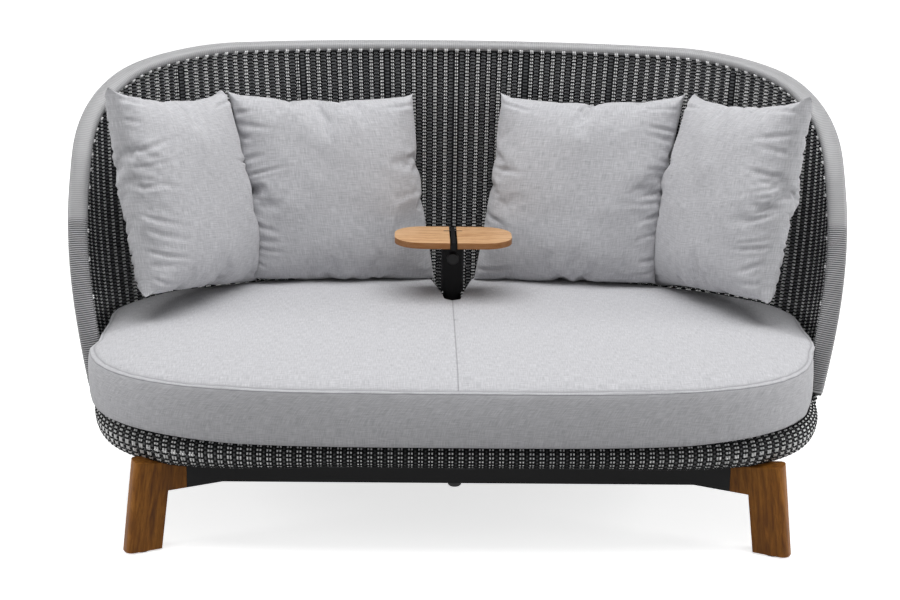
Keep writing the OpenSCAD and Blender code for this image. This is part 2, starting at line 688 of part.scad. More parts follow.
cushion_levels = [[0.5, 0, 0, 0], [0.985, 0, 0, 0], [1, 0, 0.05, 0], [1, 1, 0.35, 0],
    [1, 1, 0.65, 0], [1, 0, 0.96, 0], [0.99, 0, 1, 0], [0.965, 0, 1, 0.3],
    [0.9, 0, 1, 0.65], [0.76, 0, 1, 0.9], [0.5, 0, 1, 1]];
module seat_cushion() color(cloth_light) {
    rings = [for (l = cushion_levels) cushion_ring(l[0], l[1] * edge_swell, l[2],
        cushion_bottom + l[2] * cushion_edge + l[3] * cushion_crown)];
    n = len(rings[0]);
    last = (len(rings) - 1) * n;
    middle = len(rings) * n;
    polyhedron(points = concat([for (r = rings) each r],
        [[cushion_middle[0], cushion_middle[1], cushion_bottom],
        [cushion_middle[0], cushion_middle[1],
            cushion_bottom + cushion_edge + cushion_crown]]),
        faces = concat(flipped(bands(len(rings), n)),
            [for (j = [0 : n - 1]) [middle, j, (j + 1) % n]],
            [for (j = [0 : n - 1]) [middle + 1, last + (j + 1) % n, last + j]]));
}

// Scatter cushions: two crowned faces that meet at drawn-in sides
scatter_steps = 14;
seam_half = 2;
function scatter_point(i, j, side, shear) =
    let (u = sin(90 * (2 * i / scatter_steps - 1)), v = sin(90 * (2 * j / scatter_steps - 1)),
        h = scatter_side / 2,
        puff = pow(max(0, 1 - pow(abs(u), 2.4)), 0.62)
            * pow(max(0, 1 - pow(abs(v), 2.4)), 0.62),
        z = h * v * (1 - scatter_draw * (1 - u * u)))
    [h * u * (1 - scatter_draw * (1 - v * v)) + shear * z,
        side * (seam_half + (scatter_thickness / 2 - seam_half) * puff), z];
module scatter(shear) {
    n = scatter_steps + 1;
    rim_index = concat([for (i = [0 : n - 2]) i], [for (j = [0 : n - 2]) j * n + n - 1],
        [for (i = [n - 1 : -1 : 1]) (n - 1) * n + i], [for (j = [n - 1 : -1 : 1]) j * n]);
    m = len(rim_index);
    front = [for (j = [0 : n - 2]) for (i = [0 : n - 2]) let (k = j * n + i)
        each [[k, k + n + 1, k + 1], [k, k + n, k + n + 1]]];
    polyhedron(points = [for (side = [-1, 1]) for (j = [0 : n - 1]) for (i = [0 : n - 1])
        scatter_point(i, j, side, shear)],
        faces = concat(front, flipped(shifted(front, n * n)),
            [for (k = [0 : m - 1]) let (a = rim_index[k], b = rim_index[(k + 1) % m])
                each [[a, b, b + n * n], [a, b + n * n, a + n * n]]]));
}

// Places of the scatter cushions: offset, turn, lean, roll and shear of each
seat_rest = cushion_bottom + cushion_edge + 0.75 * cushion_crown;
inner_inset = 553;
outer_inset = 205;
inner_forward = 105;
outer_forward = 62;
inner_x = basket_width / 2 - inner_inset;
inner_y = rear_lip - inner_forward;
outer_x = basket_width / 2 - outer_inset;
outer_y = plan_shift + outer_forward;
function sits(above) = seat_rest + scatter_side / 2 + above;
module placed(place, turn, lean, roll, shear) color(cloth_light)
    translate(place) rotate([0, 0, turn]) rotate([-lean, 0, 0]) rotate([0, roll, 0])
        scatter(shear);
module scatter_inner_left() placed([-inner_x, inner_y, sits(0.97)], 7.5, 7.5, 1.4, -0.14);
module scatter_inner_right() placed([inner_x, inner_y, sits(2.31)], -7.5, 9, -1.6, 0.14);
module scatter_outer_left() placed([-outer_x, outer_y, sits(32.32)], 64.5, 8.3, 8.8, -0.2);
module scatter_outer_right() placed([outer_x, outer_y, sits(25.98)], -66, 7.4, -7.9, 0.2);

base_rail_front();
base_rail_rear();
rail_plug();
leg_front_left();
leg_front_right();
leg_rear_left();
leg_rear_right();
leg_tenons();
leg_bolts();
leg_glides();
cross_rails();
frame_bolts();
seat_slats();
seat_ring();
back_uprights();
rim_tube();
rim_binding();
woven_basket();
table_post();
post_pin();
post_cap();
bush_lower();
bush_upper();
swivel_sleeve();
clamp_screw();
clamp_knob();
table_bracket();
bracket_screws();
table_half_left();
table_half_right();
seat_cushion();
scatter_outer_left();
scatter_inner_left();
scatter_inner_right();
scatter_outer_right();
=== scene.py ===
import math
import bmesh
import bpy
import numpy as np
from mathutils import Matrix, Vector


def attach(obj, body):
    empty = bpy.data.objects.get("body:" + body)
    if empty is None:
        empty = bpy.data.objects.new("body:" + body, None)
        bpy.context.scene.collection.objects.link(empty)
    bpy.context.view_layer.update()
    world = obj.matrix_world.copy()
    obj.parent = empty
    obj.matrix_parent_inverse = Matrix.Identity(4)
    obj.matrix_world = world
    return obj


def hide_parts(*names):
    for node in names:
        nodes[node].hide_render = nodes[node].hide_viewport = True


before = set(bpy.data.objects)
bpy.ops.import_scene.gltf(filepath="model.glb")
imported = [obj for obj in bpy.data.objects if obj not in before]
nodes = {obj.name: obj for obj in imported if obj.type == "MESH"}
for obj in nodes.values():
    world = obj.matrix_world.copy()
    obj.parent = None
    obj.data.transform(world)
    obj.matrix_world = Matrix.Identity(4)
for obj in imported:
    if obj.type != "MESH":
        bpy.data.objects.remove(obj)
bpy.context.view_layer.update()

# Studio. A camera where the photographer stood, a pale seamless floor, and
# soft lamps overhead and in front, as in a furniture catalogue.
scene = bpy.context.scene
scene.view_settings.view_transform = "Standard"


def linear(code):
    parts = [int(code[i:i + 2], 16) / 255 for i in (0, 2, 4)]
    return tuple(c / 12.92 if c <= 0.04045 else ((c + 0.055) / 1.055) ** 2.4
                 for c in parts) + (1.0,)


def add(tree, kind, settings=None, links=None):
    made = tree.nodes.new(kind)
    for key, value in (settings or {}).items():
        if isinstance(key, int) or key in made.inputs:
            made.inputs[key].default_value = value
        else:
            setattr(made, key, value)
    for key, source in (links or {}).items():
        tree.links.new(source, made.inputs[key])
    return made


def blank(name):
    material = bpy.data.materials.new(name)
    material.use_nodes = True
    material.node_tree.nodes.clear()
    return material, material.node_tree


# Rays straight from the camera, or from it by way of gloss or glass.
def seen_directly(tree):
    rays = add(tree, "ShaderNodeLightPath")
    shown = add(tree, "ShaderNodeMath", {"operation": "MAXIMUM"},
                {0: rays.outputs["Is Camera Ray"], 1: rays.outputs["Is Glossy Ray"]})
    return add(tree, "ShaderNodeMath", {"operation": "MAXIMUM"},
               {0: shown.outputs[0], 1: rays.outputs["Is Transmission Ray"]}).outputs[0]


# Fitted to the photograph: the camera's place, its turn, and its focal length in
# pixels of a picture 900 pixels wide.
camera_place = (-0.1136, -4.2266, 1.6498)
pitch, yaw, roll = math.radians(15.54), 0.022544, math.radians(0.893)
focal, picture_width, sensor = 1836, 900, 36.0
forward = Vector((math.sin(yaw) * math.cos(pitch), math.cos(yaw) * math.cos(pitch),
                  -math.sin(pitch)))
level_right = forward.cross(Vector((0, 0, 1))).normalized()
level_up = level_right.cross(forward)
right = level_right * math.cos(roll) + level_up * math.sin(roll)
up = level_up * math.cos(roll) - level_right * math.sin(roll)
bpy.ops.object.camera_add()
camera = bpy.context.object
camera.data.sensor_width = sensor
camera.data.lens = sensor * focal / picture_width
camera.data.clip_end = 60
camera.matrix_world = Matrix.Translation(camera_place) @ Matrix(
    (right, up, -forward)).transposed().to_4x4()
scene.camera = camera

bpy.ops.mesh.primitive_plane_add(size=30, location=(0, 0, -0.0005))
floor = bpy.context.object
floor.name = "studio_floor"
studio_floor, tree = blank("painted_studio_floor")
# The camera sees the floor white with the shadow on it, the object sees it pale grey.
matt = add(tree, "ShaderNodeBsdfDiffuse", {"Color": linear("A8A8A8")})
white = add(tree, "ShaderNodeBsdfDiffuse", {"Color": linear("FFFFFF")})
place = add(tree, "ShaderNodeTexCoord")
away = add(tree, "ShaderNodeVectorMath", {"operation": "LENGTH"}, {0: place.outputs["Object"]})
fade = add(tree, "ShaderNodeMapRange", {"From Min": 1.5, "From Max": 3.5, "To Min": 0.68,
                                        "To Max": 1.0}, {"Value": away.outputs["Value"]})
glow = add(tree, "ShaderNodeEmission", {"Color": linear("FFFFFF")},
           {"Strength": fade.outputs[0]})
pale = add(tree, "ShaderNodeAddShader", {}, {0: white.outputs[0], 1: glow.outputs[0]})
both = add(tree, "ShaderNodeMixShader", {}, {0: seen_directly(tree), 1: matt.outputs[0],
                                             2: pale.outputs[0]})
add(tree, "ShaderNodeOutputMaterial", {}, {"Surface": both.outputs[0]})
floor.data.materials.append(studio_floor)

world = bpy.data.worlds.new("studio_air")
scene.world = world
world.use_nodes = True
tree = world.node_tree
tree.nodes.clear()
soft = add(tree, "ShaderNodeBackground", {"Color": linear("FFFFFF"), "Strength": 0.20})
seen = add(tree, "ShaderNodeBackground", {"Color": linear("FFFFFF"), "Strength": 1.0})
both = add(tree, "ShaderNodeMixShader", {}, {0: seen_directly(tree), 1: soft.outputs[0],
                                             2: seen.outputs[0]})
add(tree, "ShaderNodeOutputWorld", {}, {"Surface": both.outputs[0]})

for name, place, size, power, aim in (
        ("overhead", (-0.05, -0.75, 4.2), (4.2, 3.0), 172, (0, 0, 0.4)),
        ("side_left", (-4.2, -0.9, 1.4), (2.2, 1.6), 56, (0, 0, 0.4)),
        ("side_right", (4.3, -0.8, 1.4), (2.2, 1.6), 80, (0, 0, 0.4)),
        ("front", (0.4, -5.0, 2.6), (2.6, 1.6), 12, (0, 0, 0.5))):
    bpy.ops.object.light_add(type="AREA", location=place)
    lamp = bpy.context.object
    lamp.name = "lamp_" + name
    lamp.data.shape = "RECTANGLE"
    lamp.data.size, lamp.data.size_y = size
    lamp.data.energy = power
    lamp.rotation_euler = (Vector(aim) - Vector(place)).to_track_quat("-Z", "Y").to_euler()

# Seat cushion. Foam in a cover of woven outdoor fabric: a boxed edge, a top
# with a middle seam, and top-stitched seams where the two meet.
middle_side = -0.009      # the post and the middle seam stand left of the middle
shift = 0.058             # the widest point of the plan lies behind the middle
front_offset = 0.006      # the front of the cushion lies this much further left
notch_mouth, notch_angle = 0.071, 79.2
arm_gap = (0.052, 0.018)  # from the line of the lip to the cushion's bottom and top
cushion_fit = 0.006
# Half the width, the reach to the front and to the back of the widest line, and how
# square the plan is in front of that line and behind it.
lip_form = (0.865, 0.554, 0.405, 3.5, 2.1)
cushion_form = (0.840, 0.570, 0.379, 3.8, 2.2)
# The right side of the notch, from the post to the back edge of the cushion.
notch_side = [[0, 0.1845], [0.014, 0.1845], [0.0215, 0.1870], [0.0265, 0.1925],
              [0.0275, 0.1995], [0.0310, 0.240], [0.0345, 0.270], [0.0395, 0.300],
              [0.0460, 0.340], [0.0540, 0.385], [0.0610, 0.415]]


# Plans are given by the angle a round the middle of the widest line, in degrees: 0 is
# the right side, 90 the back, 180 the left side and -90 the front.
def plan_radius(a, half, front, back, front_square, back_square):
    across, ahead = np.cos(np.radians(a)), np.sin(np.radians(a))
    square = np.where(ahead < 0, front_square, back_square)
    reach = np.where(ahead < 0, front, back)
    return ((np.abs(across) / half) ** square
            + (np.abs(ahead) / reach) ** square) ** (-1 / square)


def at_plan(a, r, z=0.0):
    a, r, z = np.broadcast_arrays(np.radians(a), r, z)
    return np.stack([r * np.cos(a), shift + r * np.sin(a), z], -1)


def lip_plan(a):
    return plan_radius(a, *lip_form)


def unit(v):
    return v / np.linalg.norm(v, axis=-1, keepdims=True)


def between(pair, share):
    return pair[0] + (pair[1] - pair[0]) * share


def walked_along(line):
    return np.concatenate([[0], np.cumsum(np.linalg.norm(np.diff(line, axis=0), axis=1))])


def read(rows, field, width, kind=float):
    values = np.zeros(len(rows) * width, kind)
    rows.foreach_get(field, values)
    return values.reshape(-1, width)


# The faces of a skin whose points lie in rings, and the two faces that end it.
def ring_faces(rings, per_ring, closed=False, turned=False):
    below = np.arange(rings if closed else rings - 1)[:, None] * per_ring
    above = (below + per_ring) % (rings * per_ring)
    first = np.arange(per_ring)[None, :]
    second = (first + 1) % per_ring
    quads = np.stack([below + first, below + second, above + second, above + first],
                     -1).reshape(-1, 4)
    last_ring = np.arange(per_ring) + (rings - 1) * per_ring
    ends = [] if closed else [np.arange(per_ring)[::-1], last_ring]
    if turned:
        quads, ends = quads[:, ::-1], [end[::-1] for end in ends]
    return quads, ends


def mesh_piece(name, parts, material, values=None):
    points, quads, ends, start = [], [], [], 0
    for part_points, part_quads, part_ends in parts:
        points.append(part_points)
        quads.append(part_quads + start)
        ends += [end + start for end in part_ends]
        start += len(part_points)
    points, quads = np.concatenate(points), np.concatenate(quads)
    corners = np.concatenate([quads.ravel()] + ends).astype(np.int32)
    sizes = np.concatenate([np.full(len(quads), 4), [len(end) for end in ends]]).astype(np.int32)
    mesh = bpy.data.meshes.new(name)
    mesh.vertices.add(len(points))
    mesh.vertices.foreach_set("co", points.astype(np.float32).ravel())
    mesh.loops.add(len(corners))
    mesh.loops.foreach_set("vertex_index", corners)
    mesh.polygons.add(len(sizes))
    mesh.polygons.foreach_set("loop_start", (np.cumsum(sizes) - sizes).astype(np.int32))
    mesh.polygons.foreach_set("use_smooth", np.ones(len(sizes), bool))
    mesh.update(calc_edges=True)
    mesh.validate()
    if values is not None:
        shade = mesh.attributes.new("shade", "FLOAT", "POINT")
        shade.data.foreach_set("value", np.concatenate(values).astype(np.float32))
    mesh.materials.append(material)
    piece = bpy.data.objects.new(name, mesh)
    scene.collection.objects.link(piece)
    return piece


def waves(points, wavelength, how_many, seed):
    gen = np.random.default_rng(seed)
    total = np.zeros(len(points))
    for _ in range(how_many):
        d = unit(gen.normal(size=3))
        total += np.sin(points @ d * 2 * np.pi / (wavelength * gen.uniform(0.6, 1.6))
                        + gen.uniform(0, 2 * np.pi))
    return total / math.sqrt(how_many)


# The arms of the basket hold the cushion's sides and press them in a little, 4 degrees
# in front of the side. From 14 degrees on it swells out to its free plan.
def cushion_plan(a, level):
    free = plan_radius(a, *cushion_form)
    held = lip_plan(a) - between(arm_gap, level ** 2) - cushion_fit
    dip = np.degrees(np.arcsin(-np.sin(np.radians(a))))
    tuck = np.clip((dip - 14.0) / 3.5, 0, 1)
    pressed = 0.006 * np.exp(-((dip - 4.0) / 6.5) ** 2)
    return np.minimum(free, held) * (1 - tuck) + free * tuck - pressed, tuck


# One half of the outline, from the notch round to the middle of the front, for the
# right side (1) or the left side (-1).
def half_outline(level, sign, how_many):
    a = np.linspace(notch_angle, -90, 700)
    r, tuck = cushion_plan(a, level)
    body = at_plan(a, r)[:, :2]
    body[:, 0] += sign * (middle_side - front_offset) * tuck
    notch = np.array(notch_side) + (sign * middle_side, 0)
    beside = (body[:, 0] > notch_mouth + sign * middle_side) | (body[:, 1] < 0)
    corners = np.concatenate([notch[notch[:, 0] > 0],
                              body[beside & (body[:, 0] > sign * middle_side)]])
    corners[0, 0] = corners[-1, 0] = sign * middle_side
    walked = walked_along(corners)
    at = np.linspace(0, walked[-1], how_many)
    outline = np.stack([np.interp(at, walked, corners[:, k]) for k in (0, 1)], -1)
    for _ in range(3):
        outline[1:-1] = (outline[:-2] + 2 * outline[1:-1] + outline[2:]) / 4
    outline[:, 0] *= sign
    return outline


side_points = 261
bottom, edge, crown = 0.2843, 0.127, 0.027
# Each ring of the cover, from under the cushion round to the middle of its top: its
# share of the outline, of the swell of the edge, of the edge's height and of the crown.
profile = [(0.40, 0, 0.0, 0), (0.80, 0, 0.0, 0), (0.955, 0, 0.0, 0), (0.985, 0, 0.004, 0),
           (0.997, 0, 0.012, 0), (1, 0.25, 0.03, 0), (1, 0.5, 0.10, 0), (1, 0.8, 0.22, 0),
           (1, 0.97, 0.36, 0), (1, 1, 0.5, 0), (1, 0.97, 0.64, 0), (1, 0.82, 0.77, 0),
           (1, 0.62, 0.87, 0), (1, 0.40, 0.935, 0), (1, 0.28, 0.96, 0), (1, 0.14, 0.970, 0),
           (1, 0.16, 0.978, 0), (0.9980, 0.04, 0.990, 0), (0.9955, 0, 0.997, 0.005),
           (0.9925, 0, 0.997, 0.03), (0.9895, 0, 0.993, 0.06), (0.9860, 0, 1.0, 0.10),
           (0.978, 0, 1, 0.20), (0.966, 0, 1, 0.31), (0.948, 0, 1, 0.43), (0.925, 0, 1, 0.55),
           (0.895, 0, 1, 0.66), (0.86, 0, 1, 0.76), (0.81, 0, 1, 0.85), (0.75, 0, 1, 0.91),
           (0.68, 0, 1, 0.95), (0.60, 0, 1, 0.98), (0.52, 0, 1, 0.995), (0.43, 0, 1, 1.0),
           (0.34, 0, 1, 1.0), (0.25, 0, 1, 1.0), (0.16, 0, 1, 1.0), (0.08, 0, 1, 1.0),
           (0.02, 0, 1, 1.0)]
first_edge, first_top = 5, 18    # the first ring of the edge, and of the top
boxing_seam, top_stitch = [14, 15, 16], [19, 20, 21]
pivot = np.array([middle_side, -0.043])
edge_swell, end_lift = 0.006, 0.009
rings_made, cloth_uv = [], []
for share_of, swell_of, level, crowned in profile:
    outline = np.concatenate([half_outline(level, 1, side_points),
                              half_outline(level, -1, side_points)[-2:0:-1]])
    spokes = outline - pivot
    ring = pivot + spokes * share_of + unit(spokes) * (edge_swell * swell_of)
    near_end = np.clip((np.abs(ring[:, 0]) - 0.50) / 0.25, 0, 1)
    lift = end_lift * near_end * max(0, 1 - level / 0.35)
    z = bottom + edge * level + crown * crowned + lift
    rings_made.append(np.concatenate([ring, z[:, None]], 1))
    boxing = np.stack([walked_along(outline), z], -1)
    cloth_uv.append(boxing if 0.004 < level < 0.994 else ring)
per_ring = len(rings_made[0])
points = np.concatenate(rings_made)
quads, ends = ring_faces(len(profile), per_ring, turned=True)
ring_of = np.repeat(np.arange(len(profile)), per_ring)
shares = np.array([ring[0] for ring in profile])[ring_of]
on_top, on_edge = ring_of >= first_top, (ring_of >= first_edge) & (ring_of < first_top)
# The middle seam draws the top in by 2 mm; foam and cloth give slight waves.
seam_x = np.abs(points[:, 0] - middle_side)
points[on_top, 2] -= 0.0022 * np.exp(-(seam_x[on_top] / 0.012) ** 2) * (shares[on_top] < 0.985)
close_to_seam = np.exp(-(1 - shares) * 30) * on_top
points[on_top, 2] += (0.0008 * waves(points, 0.028, 14, 3) * close_to_seam
                      + 0.0011 * waves(points, 0.16, 10, 4))[on_top]
outwards = unit(np.concatenate([points[:, :2] - pivot, np.zeros((len(points), 1))], 1))
points += outwards * (on_edge * (0.0006 * waves(points, 0.035, 12, 5)
                                 + 0.0010 * waves(points, 0.2, 8, 6)))[:, None]

# Solution-dyed acrylic in plain weave. The real threads stand 0.6 mm apart, too
# fine to show here, so weft and warp are drawn as slubs about 2 mm apart.
seam_low, seam_high = 0.413, 0.440
outdoor_fabric, tree = blank("solution_dyed_acrylic_plain_weave")
lay = add(tree, "ShaderNodeUVMap", {"uv_map": "cloth"})
heights = []
for scale in ((42.0, 520.0, 1.0), (520.0, 42.0, 1.0)):
    thread = add(tree, "ShaderNodeMapping", {"Scale": scale}, {"Vector": lay.outputs[0]})
    slub = add(tree, "ShaderNodeTexNoise", {"Scale": 1.0, "Detail": 3.0},
               {"Vector": thread.outputs[0]})
    heights.append(slub)
mixed = add(tree, "ShaderNodeMath", {"operation": "ADD"},
            {0: heights[0].outputs["Fac"], 1: heights[1].outputs["Fac"]})
half_sum = add(tree, "ShaderNodeMath", {"operation": "MULTIPLY", 1: 0.5}, {0: mixed.outputs[0]})
tint = add(tree, "ShaderNodeValToRGB", {}, {0: half_sum.outputs[0]})
tint.color_ramp.elements[0].position, tint.color_ramp.elements[1].position = 0.34, 0.66
tint.color_ramp.elements[0].color = linear("A2A2A6")
tint.color_ramp.elements[1].color = linear("C9C9CC")
bump = add(tree, "ShaderNodeBump", {"Strength": 0.35, "Distance": 0.0006},
           {"Height": half_sum.outputs[0]})
# Painted shade in the seam grooves, read from the cover's shade attribute.
stitched = add(tree, "ShaderNodeAttribute", {"attribute_name": "shade"})
line_shade = add(tree, "ShaderNodeMix", {"data_type": "RGBA", 7: linear("5E5E62")},
                 {0: stitched.outputs["Fac"], 6: tint.outputs[0]})
place = add(tree, "ShaderNodeTexCoord")
parts_of = add(tree, "ShaderNodeSeparateXYZ", {}, {0: place.outputs["Object"]})
off_seam = add(tree, "ShaderNodeMath", {"operation": "SUBTRACT", 1: middle_side},
               {0: parts_of.outputs["X"]})
off_seam = add(tree, "ShaderNodeMath", {"operation": "ABSOLUTE"}, {0: off_seam.outputs[0]})
# Painted shadow of the middle seam's dip: a fine dark line, on the top of the seat alone.
painted_seam_shadow = add(tree, "ShaderNodeMapRange", {"From Min": 0.0008, "From Max": 0.0022,
                                             "To Min": 0.55, "To Max": 0.0},
                {"Value": off_seam.outputs[0]})
on_seat = add(tree, "ShaderNodeMapRange", {"From Min": seam_low, "From Max": seam_low + 0.001},
              {"Value": parts_of.outputs["Z"]})
below = add(tree, "ShaderNodeMapRange", {"From Min": seam_high, "From Max": seam_high + 0.001,
                                         "To Min": 1.0, "To Max": 0.0},
            {"Value": parts_of.outputs["Z"]})
painted_seam_shadow = add(tree, "ShaderNodeMath", {"operation": "MULTIPLY"},
                {0: painted_seam_shadow.outputs[0], 1: on_seat.outputs[0]})
painted_seam_shadow = add(tree, "ShaderNodeMath", {"operation": "MULTIPLY"},
                {0: painted_seam_shadow.outputs[0], 1: below.outputs[0]})
seam_shadowed = add(tree, "ShaderNodeMix", {"data_type": "RGBA", 7: linear("6A6A6E")},
             {0: painted_seam_shadow.outputs[0], 6: line_shade.outputs[2]})
cloth = add(tree, "ShaderNodeBsdfPrincipled",
            {"Roughness": 0.92, "IOR": 1.45, "Sheen Weight": 0.2, "Sheen Roughness": 0.5,
             "Specular IOR Level": 0.2},
            {"Base Color": seam_shadowed.outputs[2], "Normal": bump.outputs[0]})
add(tree, "ShaderNodeOutputMaterial", {}, {"Surface": cloth.outputs[0]})


def lay_cloth(piece, uv_points):
    layer = piece.data.uv_layers.new(name="cloth")
    index = read(piece.data.loops, "vertex_index", 1, np.int32).ravel()
    layer.data.foreach_set("uv", uv_points[index].astype(np.float32).ravel())


# Painted shade: the boxing seam and the top-stitched seam above it are drawn as darker lines, the
# shade of each seam's groove.
painted_groove_shade = np.zeros(len(profile))
painted_groove_shade[boxing_seam] = 0.1, 0.75, 0.15
painted_groove_shade[top_stitch] = 0.1, 0.5, 0.1
seat = mesh_piece("seat_cushion_cover", [(points, quads, ends)], outdoor_fabric,
                  [painted_groove_shade[ring_of]])
lay_cloth(seat, np.concatenate(cloth_uv))
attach(seat, "seat_cushion")
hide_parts("seat_cushion")

# Scatter cushions. Two square panels of the same fabric, sewn edge to edge and
# filled; they are blown up as cloth, so the seams pucker by themselves.
panel_cells, panel_half = 56, 0.236
seat_top = 0.4388
panel_line = np.linspace(-1, 1, panel_cells + 1)
panel_u, panel_v = np.meshgrid(panel_line, panel_line)
puff = (np.maximum(0, 1 - np.abs(panel_u) ** 2.4)
        * np.maximum(0, 1 - np.abs(panel_v) ** 2.4)) ** 0.62
on_seam = ((np.abs(panel_u) > 0.9999) | (np.abs(panel_v) > 0.9999)).ravel()
# The two panels share the points of the seam, so the back panel leaves its own out.
per_panel = len(on_seam)
back_index = np.arange(per_panel) + per_panel
back_index[on_seam] = np.nonzero(on_seam)[0]
kept = np.concatenate([np.ones(per_panel, bool), ~on_seam])
both_sides = (np.cumsum(kept) - 1)[np.stack([np.arange(per_panel), back_index])]


def sewn_panels(name, seed, gen):
    ripple = np.zeros_like(panel_u)
    for _ in range(14):
        along_u, along_v = gen.uniform(1, 5, 2)
        ripple += np.sin(along_u * panel_u * 3 + gen.uniform(0, 6.3)) * np.sin(
            along_v * panel_v * 3 + gen.uniform(0, 6.3))
    start = 0.060
    panels = []
    for sign, wave in ((-1, ripple), (1, -ripple.T)):
        y = sign * (0.002 + start * puff + 0.0012 * wave * puff)
        panels.append(np.stack([panel_half * panel_u, y, panel_half * panel_v],
                               -1).reshape(-1, 3))
    panels[0][on_seam, 1] = 0
    row, column = np.meshgrid(np.arange(panel_cells), np.arange(panel_cells), indexing="ij")
    corner = (row * (panel_cells + 1) + column).ravel()
    front = np.stack([corner, corner + 1, corner + panel_cells + 2, corner + panel_cells + 1], 1)
    quads = np.concatenate([front, both_sides[1][front[:, ::-1]]])
    piece = mesh_piece(name, [(np.concatenate(panels)[kept], quads, [])], outdoor_fabric)
    laid = np.stack([panel_u * panel_half, panel_v * panel_half], -1).reshape(-1, 2)
    lay_cloth(piece, np.concatenate([laid, laid])[kept] + seed)
    return piece


def pick(piece):
    bpy.ops.object.select_all(action="DESELECT")
    piece.select_set(True)
    bpy.context.view_layer.objects.active = piece


def blow_up(piece):
    blown = piece.modifiers.new("filling", "CLOTH")
    cloth_set = blown.settings
    cloth_set.quality = 6
    cloth_set.mass = 0.1
    cloth_set.tension_stiffness = cloth_set.compression_stiffness = 8
    cloth_set.shear_stiffness = 2.7
    cloth_set.bending_stiffness = 0.05
    cloth_set.tension_damping = cloth_set.compression_damping = 12
    cloth_set.shear_damping, cloth_set.bending_damping = 12, 1.0
    cloth_set.air_damping = 4
    cloth_set.use_pressure = True
    cloth_set.uniform_pressure_force = 8.0
    cloth_set.effector_weights.gravity = 0
    blown.collision_settings.use_collision = False
    blown.collision_settings.use_self_collision = False
    blown.point_cache.frame_start, blown.point_cache.frame_end = 1, 29
    for tick in range(1, 27):
        scene.frame_set(tick)
    bpy.ops.object.modifier_apply(modifier="filling")
    scene.frame_set(1)


def evened(values, times):
    for _ in range(times):
        values = values.copy()
        values[1:-1] = (values[:-2] + 2 * values[1:-1] + values[2:]) / 4
    return values


# The filling of the real cushion is softer than air: the form is pressed flatter, its
# creases are kept, and its seams are drawn to the outline of the photograph. The draws
# are the hollows of the seams and the ears the reach of the corners, as shares of a half.
def draw_to_outline(points, ear, thick, side_draws):
    bottom_draw, top_draw, top_ear = 0.015, 0.075, 0.040
    fuller_below, crease_share = 0.18, 1.15
    whole = points[both_sides].reshape(2, panel_cells + 1, panel_cells + 1, 3)
    for panel in whole:
        low_form = panel[..., 1].copy()
        for _ in range(40):
            low_form[1:-1, 1:-1] = (low_form[:-2, 1:-1] + low_form[2:, 1:-1]
                                    + low_form[1:-1, :-2] + low_form[1:-1, 2:]) / 4
        crease = panel[..., 1] - low_form
        flatter = low_form * (thick / np.abs(low_form).max())
        panel[..., 1] = flatter * (1 - fuller_below * panel_v) + crease_share * crease
        for lines, draws, ears in (
                (panel[..., 0], side_draws, (ear, ear)),
                (panel[..., 2].T, (bottom_draw, top_draw), (ear, ear + top_ear))):
            first, last = lines[:, 0].copy(), lines[:, -1].copy()
            for edge_line, sign, draw, point in zip((first, last), (-1, 1), draws, ears):
                pull = 1 - draw * (1 - panel_line ** 2) + point * np.abs(panel_line) ** 5
                edge_line += sign * panel_half * pull - evened(edge_line, 60)
            across = (lines - lines[:, :1]) / (lines[:, -1:] - lines[:, :1])
            lines[:] = first[:, None] + across * (last - first)[:, None]
    for side in (1, 0):
        points[both_sides[side]] = whole[side].reshape(-1, 3)


# Short level creases run in from the side seams, too sharp for the cells of the cloth.
def crease_depth(flat_u, flat_v, outer, gen):
    depth = np.zeros(len(flat_u))
    for sign, how_many in ((outer, 11), (-outer, 4)):
        for height in np.linspace(-0.82, 0.80, how_many):
            height += gen.uniform(-0.07, 0.07)
            reach = gen.uniform(0.07, 0.24)
            middle_u = sign * (0.90 - 0.8 * reach)
            off = flat_v - height - gen.uniform(-0.25, 0.25) * (flat_u - middle_u)
            width = gen.uniform(0.018, 0.030)
            depth += gen.uniform(0.0022, 0.0048) * ((off / width) ** 2 - 1) * np.exp(
                -(off / width) ** 2 / 2 - ((flat_u - middle_u) / reach) ** 2)
    return np.clip(depth, -0.005, 0.003) * np.clip((1 - np.abs(flat_u)) / 0.09, 0, 1)


# The top of the seat falls away towards its edge, and the lowest 9 cm of each scatter
# cushion follow it, down to 2 cm at most.
seat_rim = half_outline(1.0, 1, side_points) - pivot
seat_angle = np.degrees(np.arctan2(seat_rim[:, 1], seat_rim[:, 0]))
order = np.argsort(seat_angle)
seat_angle, seat_reach = seat_angle[order], np.linalg.norm(seat_rim, axis=1)[order]
top_rings = np.array(profile[first_top - 1:][::-1])


def rest_on_seat(points):
    angle = np.degrees(np.arctan2(points[:, 1] - pivot[1], np.abs(points[:, 0])))
    out_to = np.linalg.norm(points[:, :2] - pivot, axis=1) / np.interp(
        angle, seat_angle, seat_reach)
    fall = crown * (1 - np.interp(out_to, top_rings[:, 0], top_rings[:, 3]))
    near_seat = np.clip((0.53 - points[:, 2]) / 0.09, 0, 1)
    points[:, 2] -= 0.85 * np.clip(fall, 0, 0.02) * near_seat


# The cushions give way where the two ends of the table swing past them. The reach of
# the ends is given by the angle that they stand at, in degrees from the side.
post_place, table_height = np.array([-0.009, 0.215]), 0.606
swept_angle = (21, 30, 41, 60, 75, 87, 90)
swept_reach = (0.1715, 0.1675, 0.1580, 0.1520, 0.140, 0.112, 0.098)


def clear_of_table(points):
    off_post = points[:, :2] - post_place
    far = np.linalg.norm(off_post, axis=1)
    level_with = np.exp(-((points[:, 2] - table_height) / 0.055) ** 4)
    angle = np.degrees(np.arctan2(off_post[:, 1], np.abs(off_post[:, 0])))
    short = np.clip(np.interp(angle, swept_angle, swept_reach) - far, 0, 0.03) * level_with
    points[:, :2] += off_post / far[:, None] * short[:, None]


